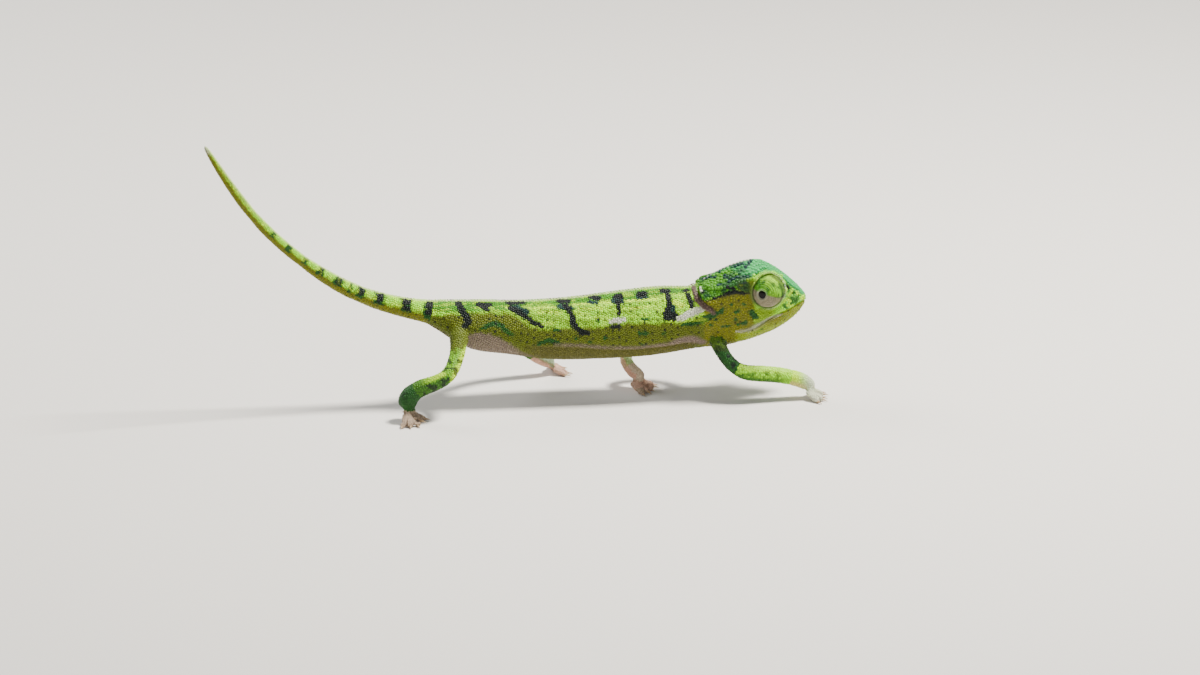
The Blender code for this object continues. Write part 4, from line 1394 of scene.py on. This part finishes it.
NEIGHBOURS = sorted(((i, j, k) for i in (-1, 0, 1) for j in (-1, 0, 1) for k in (-1, 0, 1)),
                    key=lambda step: abs(step[0]) + abs(step[1]) + abs(step[2]))


def spread_out(loose, passes=4):
    """Push the scattered places apart along the skin until the gaps are even."""
    fixed = np.array([(*row[:3], row[SIZE]) for row in roots.rows])
    for _ in range(passes):
        everyone = np.vstack((loose, fixed))
        tree = kd_tree(everyone[:, PLACE])
        moved = loose.copy()
        for i, (x, y, z, spacing) in enumerate(loose):
            here = Vector((x, y, z))
            push = Vector((0.0, 0.0, 0.0))
            for other, j, dist in tree.find_n(here, 7):
                if dist > 1e-6:
                    room = 0.53 * (spacing + everyone[j, 3])
                    push += (here - other) / dist * max(0.0, room - dist)
            spot_, _, _, _ = SKIN_TREE.find_nearest(here + push * 0.45)
            moved[i, :3] = spot_
        loose = moved
    return loose


loose = spread_out(scatter())
for x, y, z, spacing in loose:
    way = (-1.0, 0.0, 0.0)
    roots.add((x, y, z), way, spacing * 1.02, 0.28 * spacing, reach=0.3)
print(f"{len(roots.rows) - ringed} scales scattered over head and limbs")


# %% [markdown]
# ## From one scale to nearly twenty thousand
#
# One scale is modelled: a low six-sided bead with a domed top and a closed underside. A second,
# taller one serves the crests. Copies of their points are turned to the skin, sized and sunk a
# little into it. Each copy also gets a tiny patch of the skin's own unwrap, at its root.

# %% One bead, one cone
def make_scale(name, shoulder, shoulder_height, lean):
    deselect()
    bpy.ops.mesh.primitive_cylinder_add(vertices=6, radius=1.0, depth=1.0, end_fill_type="NGON")
    scale = bpy.context.object
    scale.name = name
    bpy.ops.object.mode_set(mode="EDIT")
    bpy.ops.mesh.select_all(action="DESELECT")
    bm = bmesh.from_edit_mesh(scale.data)
    top = max(bm.faces, key=lambda face: face.calc_center_median().z)
    top.select = True
    bmesh.update_edit_mesh(scale.data)
    bpy.ops.transform.resize(value=(shoulder, shoulder, 1.0))
    bpy.ops.transform.translate(value=(0.0, 0.0, shoulder_height - 0.5))
    bpy.ops.mesh.poke()
    bpy.ops.object.mode_set(mode="OBJECT")
    for vert in scale.data.vertices:
        if vert.co.z < 0.0:
            vert.co.z = 0.0
    peak = max(scale.data.vertices, key=lambda v: v.co.xy.length < 0.01)
    peak.co = (lean, 0.0, 1.0)
    return scale


def scale_arrays(scale):
    """Points and faces of one scale, the hidden underside first."""
    points = np.array([tuple(v.co) for v in scale.data.vertices])
    faces = sorted((tuple(face.vertices) for face in scale.data.polygons),
                   key=lambda face: points[list(face), 2].mean())
    bpy.data.objects.remove(scale, do_unlink=True)
    return points, faces


SHAPES = {BEAD: scale_arrays(make_scale("bead", 0.76, 0.72, 0.0)),
          CONE: scale_arrays(make_scale("cone", 0.62, 0.5, 0.35))}
SINK = 0.045             # how deep a scale's underside sits in the skin
PATCH = 0.003            # width of a scale's own patch on the map
print("points in one scale:", len(SHAPES[BEAD][0]), "faces:", len(SHAPES[BEAD][1]))


# %% Colours of every root
ROOTS = roots.array()
ROOT_REGION = region_of(ROOTS[:, PLACE])
ROOT_MASKS = markings(ROOTS[:, PLACE], ROOT_REGION)
ROOT_GRAIN = rng.random(len(ROOTS))


def add_dots():
    """The fine dark dots in rows on the flanks: single dark scales."""
    flat = side_view(ROOTS[:, PLACE])
    dots = ROOTS[:, DOT] * (0.4 + 0.6 * ROOT_GRAIN)
    for name, share in (("olive", 1.0), ("band", 0.6), ("pink", 1.0), ("cream", 1.0)):
        dots *= 1.0 - share * ROOT_MASKS[name]
    dots *= smoothstep(60.0, 50.0, flat[:, 0])
    loose_spots = (ROOTS[:, DOT] == 0) * (rng.random(len(ROOTS)) > 0.965)
    cheek = is_one_of(ROOT_REGION, "head", "lower_jaw", "neck") * loose_spots
    cheek *= ROOT_MASKS["ochre"]
    dots = np.maximum(dots, 0.8 * cheek)
    ROOT_MASKS["ink"] = np.maximum(ROOT_MASKS["ink"], 0.9 * dots)


def pale_cones():
    """The cones of the crests are paler than the skin they stand on."""
    cones = ROOTS[:, KIND] == CONE
    ROOT_MASKS["cream"] = np.where(cones, np.maximum(ROOT_MASKS["cream"], 0.6), ROOT_MASKS["cream"])
    ROOT_MASKS["ink"] = np.where(cones, 0.3 * ROOT_MASKS["ink"], ROOT_MASKS["ink"])


add_dots()
pale_cones()


# %% Building a coat
def root_uv(root):
    """Where on the skin's map this root lies."""
    face = int(root[FACE])
    corners = FACE_POINTS[list(FACES[face])]
    uv = LOOP_UV[FACE_LOOPS[face]:FACE_LOOPS[face] + len(corners)]
    near = 1.0 / (np.linalg.norm(corners - root[PLACE], axis=1) + 1e-4) ** 2
    return (uv * near[:, None]).sum(axis=0) / near.sum()


def write_masks(mesh, masks, grain):
    for name in COLOURS:
        attribute = mesh.attributes.new("paint_" + name, "FLOAT", "POINT")
        attribute.data.foreach_set("value", masks[name].astype(np.float32))
    attribute = mesh.attributes.new("grain", "FLOAT", "POINT")
    attribute.data.foreach_set("value", grain.astype(np.float32))


def coat_piece(name, chosen):
    """One mesh holding every chosen scale."""
    all_points = []
    all_faces = []
    all_uv = []
    owners = []
    first = 0
    for index in np.flatnonzero(chosen):
        root = ROOTS[index]
        shape, faces = SHAPES[int(root[KIND])]
        normal = root[NORMAL]
        way = root[WAY] - normal * (root[WAY] @ normal)
        if way @ way < 1e-4:
            way = np.cross(normal, (0.0, 1.0, 0.0))
        way /= np.linalg.norm(way)
        across = np.cross(normal, way)
        half = root[SIZE] / 2 / math.cos(math.pi / 6) * (0.94 + 0.12 * ROOT_GRAIN[index])
        tall = root[HEIGHT] * (0.85 + 0.3 * ROOT_GRAIN[index])
        local = shape * (half * root[STRETCH], half, tall + SINK)
        points = (root[PLACE] + local[:, :1] * way + local[:, 1:2] * across
                  + (local[:, 2:] - SINK) * normal)
        all_points.append(points)
        all_faces += [tuple(first + i for i in face) for face in faces]
        patch = root_uv(root) + shape[:, :2] * PATCH / 2
        all_uv += [patch[i] for face in faces for i in face]
        owners += [index] * len(shape)
        first += len(shape)
    mesh = bpy.data.meshes.new(name)
    mesh.from_pydata((np.vstack(all_points) * MM).tolist(), [], all_faces)
    uv = mesh.uv_layers.new(name=UV_NAME)
    uv.data.foreach_set("uv", np.array(all_uv, np.float32).ravel())
    write_masks(mesh, {key: value[owners] for key, value in ROOT_MASKS.items()}, ROOT_GRAIN[owners])
    piece = link(name, mesh)
    select_only([piece])
    bpy.ops.object.shade_smooth()
    count = sum(len(face.vertices) - 2 for face in mesh.polygons)
    print(f"{name}: {chosen.sum()} scales, {count} triangles")
    return piece


def root_on(*starts):
    return is_one_of(ROOT_REGION, *starts) > 0


on_jaw = root_on("lower_jaw") | (root_on("neck") & (ROOTS[:, 0] > behind_snout(13.3)))
on_lids = root_on("eyelids")
on_casque = root_on("head") & ~on_lids
on_tail = root_on("tail")
on_flank = (root_on("trunk") | root_on("neck")) & ~on_jaw
on_limbs = ~(on_jaw | on_lids | on_casque | on_tail | on_flank)
COATS = {part: coat_piece("scales_" + name, chosen) for part, name, chosen in (
    ("casque", "casque", on_casque), ("jaw", "jaw_and_throat", on_jaw), ("lid", "lids", on_lids),
    ("flank", "trunk", on_flank), ("tail", "tail", on_tail), ("limb", "limbs", on_limbs))}
SKIN_POINTS = places(skin)
SKIN_MASKS = markings(SKIN_POINTS, region_of(SKIN_POINTS))
write_masks(skin.data, SKIN_MASKS, 0.5 + 0.4 * ragged(SKIN_POINTS, 0.3, 2.0))


# %% [markdown]
# ## Materials
#
# The paint box becomes colours here. A tiny class wraps shader sockets so that sums read like
# arithmetic. Every colour of the box is laid over the ones before it by its own strength, and a
# fine noise keeps any two scales from being quite alike.

# %% Writing shaders like sums
class Wire:
    """A socket, or a plain number, that can be added and multiplied."""

    def __init__(self, tree, value):
        self.tree = tree
        self.value = value

    def maths(self, operation, *others, clamp=False):
        node = self.tree.nodes.new("ShaderNodeMath")
        node.operation = operation
        node.use_clamp = clamp
        for socket, item in zip(node.inputs, (self, *others)):
            plug(self.tree, socket, item)
        return Wire(self.tree, node.outputs[0])

    def __add__(self, other):
        return self.maths("ADD", other)

    def __sub__(self, other):
        return self.maths("SUBTRACT", other)

    def __mul__(self, other):
        return self.maths("MULTIPLY", other)

    def __rsub__(self, other):
        return Wire(self.tree, other).maths("SUBTRACT", self)

    __radd__ = __add__
    __rmul__ = __mul__


def plug(tree, socket, item):
    """Give a socket a constant or a link."""
    if isinstance(item, Wire):
        item = item.value
    if isinstance(item, bpy.types.NodeSocket):
        tree.links.new(item, socket)
    else:
        socket.default_value = item


class Shader:
    def __init__(self, name):
        self.material = bpy.data.materials.new(name)
        self.material.use_nodes = True
        self.tree = self.material.node_tree
        self.surface = self.tree.nodes["Principled BSDF"]

    def node(self, kind, settings=None, **values):
        """Add a node: its settings first, then its sockets by name."""
        made = self.tree.nodes.new("ShaderNode" + kind)
        for key, value in (settings or {}).items():
            setattr(made, key, value)
        for key, value in values.items():
            plug(self.tree, made.inputs[key.replace("_", " ")], value)
        return made

    def attribute(self, name):
        return Wire(self.tree, self.node("Attribute", {"attribute_name": name}).outputs["Fac"])

    def noise(self, scale, detail=3.0):
        place = self.node("TexCoord").outputs["Object"]
        made = self.node("TexNoise", Vector=place, Scale=scale, Detail=detail)
        return Wire(self.tree, made.outputs["Fac"])

    def mix(self, strength, under, over):
        """Lay one colour over another."""
        made = self.tree.nodes.new("ShaderNodeMix")
        made.data_type = "RGBA"
        plug(self.tree, made.inputs[0], strength)
        plug(self.tree, made.inputs[6], under)
        plug(self.tree, made.inputs[7], over)
        return made.outputs[2]

    def set(self, **values):
        for key, value in values.items():
            plug(self.tree, self.surface.inputs[key.replace("_", " ")], value)


def srgb(code):
    """A colour written as six hex digits, in the linear numbers a shader wants."""
    channels = [int(code[i:i + 2], 16) / 255 for i in (0, 2, 4)]
    linear = [c / 12.92 if c <= 0.04045 else ((c + 0.055) / 1.055) ** 2.4 for c in channels]
    return (*linear, 1.0)


# %% The animal's colours
LIME = srgb("8ED604")
# lower is the lower flank's olive, partly its own colour and partly painted shade.
PAINTS = {"lower": srgb("586306"), "band": srgb("468608"), "mint": srgb("30A052"),
          "ochre": srgb("6C6E05"), "olive": srgb("57561F"), "leaf": srgb("184C12"),
          "yellow": srgb("C6EC10"), "teal": srgb("07302A"), "pink": srgb("7C6C60"),
          "cream": srgb("C4C8B2"), "collar": srgb("5C4A42"), "flesh": srgb("CC9E86"),
          "ink": srgb("020F0A")}


def scaly(name, roughness, depth):
    shader = Shader(name)
    grain = shader.attribute("grain")
    blotch = shader.noise(900.0)
    colour = shader.mix(blotch * 0.4, LIME, srgb("A8E20A"))
    for paint in COLOURS:
        colour = shader.mix(shader.attribute("paint_" + paint), colour, PAINTS[paint])
    # depth lowers the value; on the skin it is painted shade in the gaps between the scales.
    light = (grain - 0.5) * 0.28 + (shader.noise(2600.0) - 0.5) * 0.2 + 1.0 - depth
    made = shader.node("HueSaturation", Value=light, Color=colour)
    relief = shader.node("Bump", Strength=0.35, Distance=0.00003, Height=shader.noise(9000.0, 4.0))
    shader.set(Base_Color=made.outputs["Color"], Roughness=roughness + 0.12 * shader.noise(1500.0),
               Normal=relief.outputs["Normal"], Specular_IOR_Level=0.25)
    shader.set(Subsurface_Weight=0.05, Subsurface_Radius=(0.0006, 0.0008, 0.0003),
               Subsurface_Scale=1.0)
    return shader.material


skin.data.materials.clear()
# The skin is 0.22 darker than its scales: painted shade in the gaps between them.
skin.data.materials.append(scaly("chameleon_skin", 0.5, 0.22))
for part, roughness in (("casque", 0.38), ("jaw", 0.42), ("lid", 0.4), ("flank", 0.42),
                        ("tail", 0.45), ("limb", 0.44)):
    COATS[part].data.materials.append(scaly(part + "_scales", roughness, 0.0))


# %% [markdown]
# ## Eyes and claws
#
# Only the pupil end of the eyeball shows through the lids: a wet, nearly black dome. Its golden
# part starts just outside the opening. The claws are horn, mottled in two browns, one for each toe.

# %% Eyeballs
BALL_SINK = 0.27         # how far the ball lies under the lids


def make_eyeball(side):
    centre, radius = EYE_BALLS[side]
    deselect()
    bpy.ops.mesh.primitive_uv_sphere_add(segments=48, ring_count=32, radius=(radius - BALL_SINK) * MM)
    ball = bpy.context.object
    ball.name = "eyeball_" + side
    ball.rotation_euler = Vector(GAZE[side]).to_track_quat("Z", "Y").to_euler()
    ball.location = Vector(centre) * MM
    bpy.ops.object.transform_apply(location=True, rotation=True, scale=True)
    angle = angle_from_gaze(places(ball) - centre, side, radius - BALL_SINK)
    iris = ball.data.attributes.new("iris", "FLOAT", "POINT")
    iris.data.foreach_set("value", smoothstep(17.4, 18.0, angle).astype(np.float32))
    bpy.ops.object.shade_smooth()
    return ball


def eye_material():
    shader = Shader("wet_eye")
    colour = shader.mix(shader.attribute("iris"), srgb("060504"), srgb("7A5A1E"))
    shader.set(Base_Color=colour, Roughness=0.08, Specular_IOR_Level=0.14)
    return shader.material


wet_eye = eye_material()
EYEBALLS = {side: make_eyeball(side) for side in EYES}
for ball in EYEBALLS.values():
    ball.data.materials.append(wet_eye)


# %% Claws
def make_claw():
    """A short hooked cone along +X, its tip at the origin."""
    deselect()
    bpy.ops.mesh.primitive_cone_add(vertices=10, radius1=0.17 * MM, radius2=0.015 * MM,
                                    depth=0.85 * MM, rotation=(0.0, math.radians(90.0), 0.0))
    claw = bpy.context.object
    bpy.ops.object.transform_apply(location=True, rotation=True, scale=True)
    bpy.ops.object.mode_set(mode="EDIT")
    for cut in (-0.2, 0.0, 0.2, 0.34):
        bpy.ops.mesh.select_all(action="SELECT")
        bpy.ops.mesh.bisect(plane_co=(cut * MM, 0.0, 0.0), plane_no=(1.0, 0.0, 0.0))
    bpy.ops.object.mode_set(mode="OBJECT")
    points = places(claw)
    share = (points[:, 0] + 0.425) / 0.85
    points[:, 2] += 0.34 * share * (1.0 - share) + 0.12 * (1.0 - share)
    points[:, 0] -= 0.425
    move_to(claw, points)
    return claw


def plant_claws():
    pattern = make_claw()
    claws = []
    for name in TOES:
        palm = palm_middle(name)
        for tip in toe_tips(name):
            way = Vector((tip[0] - palm[0], tip[1] - palm[1], 0.0)).normalized()
            claw = link("claw", pattern.data.copy())
            claw.rotation_euler = way.to_track_quat("X", "Z").to_euler()
            claw.location = Vector((tip[0], tip[1], max(tip[2], FLOOR + 0.05))) * MM
            claws.append(claw)
    bpy.data.objects.remove(pattern, do_unlink=True)
    select_only(claws)
    bpy.ops.object.transform_apply(location=True, rotation=True, scale=True)
    bpy.ops.object.join()
    joined = bpy.context.object
    joined.name = "claws"
    bpy.ops.object.shade_smooth()
    print(len(claws), "claws")
    return joined


def horn():
    shader = Shader("horn")
    colour = shader.mix(shader.noise(1500.0), srgb("C9AE86"), srgb("7A5F45"))
    shader.set(Base_Color=colour, Roughness=0.32)
    return shader.material


claws = plant_claws()
claws.data.materials.append(horn())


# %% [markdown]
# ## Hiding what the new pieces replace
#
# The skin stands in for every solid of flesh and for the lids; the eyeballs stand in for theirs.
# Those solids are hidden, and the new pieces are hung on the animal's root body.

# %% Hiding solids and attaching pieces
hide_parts(*FLESH, *LIDS.values())
for side, ball in EYEBALLS.items():
    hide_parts(EYES[side])
for piece in [skin, claws, *EYEBALLS.values(), *COATS.values()]:
    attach(piece, "root")


# %% [markdown]
# ## Floor, light and camera
#
# A plain pale floor and three soft lamps. The main one stands high on the right and behind, as a
# sun would that lights the back and leaves the lower flank in gentle shade.

# %% Floor
def make_floor():
    deselect()
    bpy.ops.mesh.primitive_plane_add(size=3.0, location=(0.0, 0.0, cad_bounds[0][2]))
    floor = bpy.context.object
    floor.name = "floor"
    shader = Shader("pale_floor")
    shader.set(Base_Color=srgb("D9D5CE"), Roughness=0.85)
    floor.data.materials.append(shader.material)
    return floor


floor = make_floor()


# %% Lamps and sky
def softbox(name, place, aim, size, watts, colour):
    lamp = bpy.data.lights.new(name, "AREA")
    lamp.size = size
    lamp.energy = watts
    lamp.color = colour
    obj = link(name, lamp)
    obj.location = place
    obj.rotation_euler = (Vector(aim) - Vector(place)).to_track_quat("-Z", "Y").to_euler()
    return obj


MIDDLE_OF_BODY = (0.0, 0.0, 0.012)
softbox("key", (0.12, 0.02, 0.27), MIDDLE_OF_BODY, 0.06, 2.7, (1.0, 0.97, 0.91))
softbox("fill", (-0.05, -0.34, 0.14), MIDDLE_OF_BODY, 0.30, 0.35, (0.93, 0.96, 1.0))
softbox("rim", (-0.22, 0.2, 0.2), MIDDLE_OF_BODY, 0.16, 0.9, (1.0, 1.0, 1.0))
world = bpy.context.scene.world or bpy.data.worlds.new("studio")
bpy.context.scene.world = world
world.use_nodes = True
world.node_tree.nodes["Background"].inputs["Color"].default_value = (0.93, 0.95, 1.0, 1.0)
world.node_tree.nodes["Background"].inputs["Strength"].default_value = 0.3


# %% Camera
AZIMUTH = -7.0           # a little towards the tail
HEIGHT_ANGLE = 18.0      # and above
DISTANCE = 0.8
FRAME_WIDTH = 0.14286    # width of the view at the animal
FRAME_LIFT = 0.006905    # the animal sits a little below the middle of the view


def make_camera():
    turn = math.radians(AZIMUTH)
    tilt = math.radians(HEIGHT_ANGLE)
    look = Vector((-math.sin(turn) * math.cos(tilt), math.cos(turn) * math.cos(tilt), -math.sin(tilt)))
    right = Vector((math.cos(turn), math.sin(turn), 0.0))
    up = right.cross(look)
    aim = Vector((behind_snout(24.65) * MM, MIDLINE * MM, 0.0)) + up * FRAME_LIFT
    camera = bpy.data.cameras.new("camera")
    camera.sensor_width = 36.0
    camera.lens = 36.0 * DISTANCE / FRAME_WIDTH
    camera.clip_start = 0.01
    obj = link("camera", camera)
    obj.location = aim - look * DISTANCE
    obj.rotation_euler = look.to_track_quat("-Z", "Y").to_euler()
    return obj


bpy.context.scene.camera = make_camera()
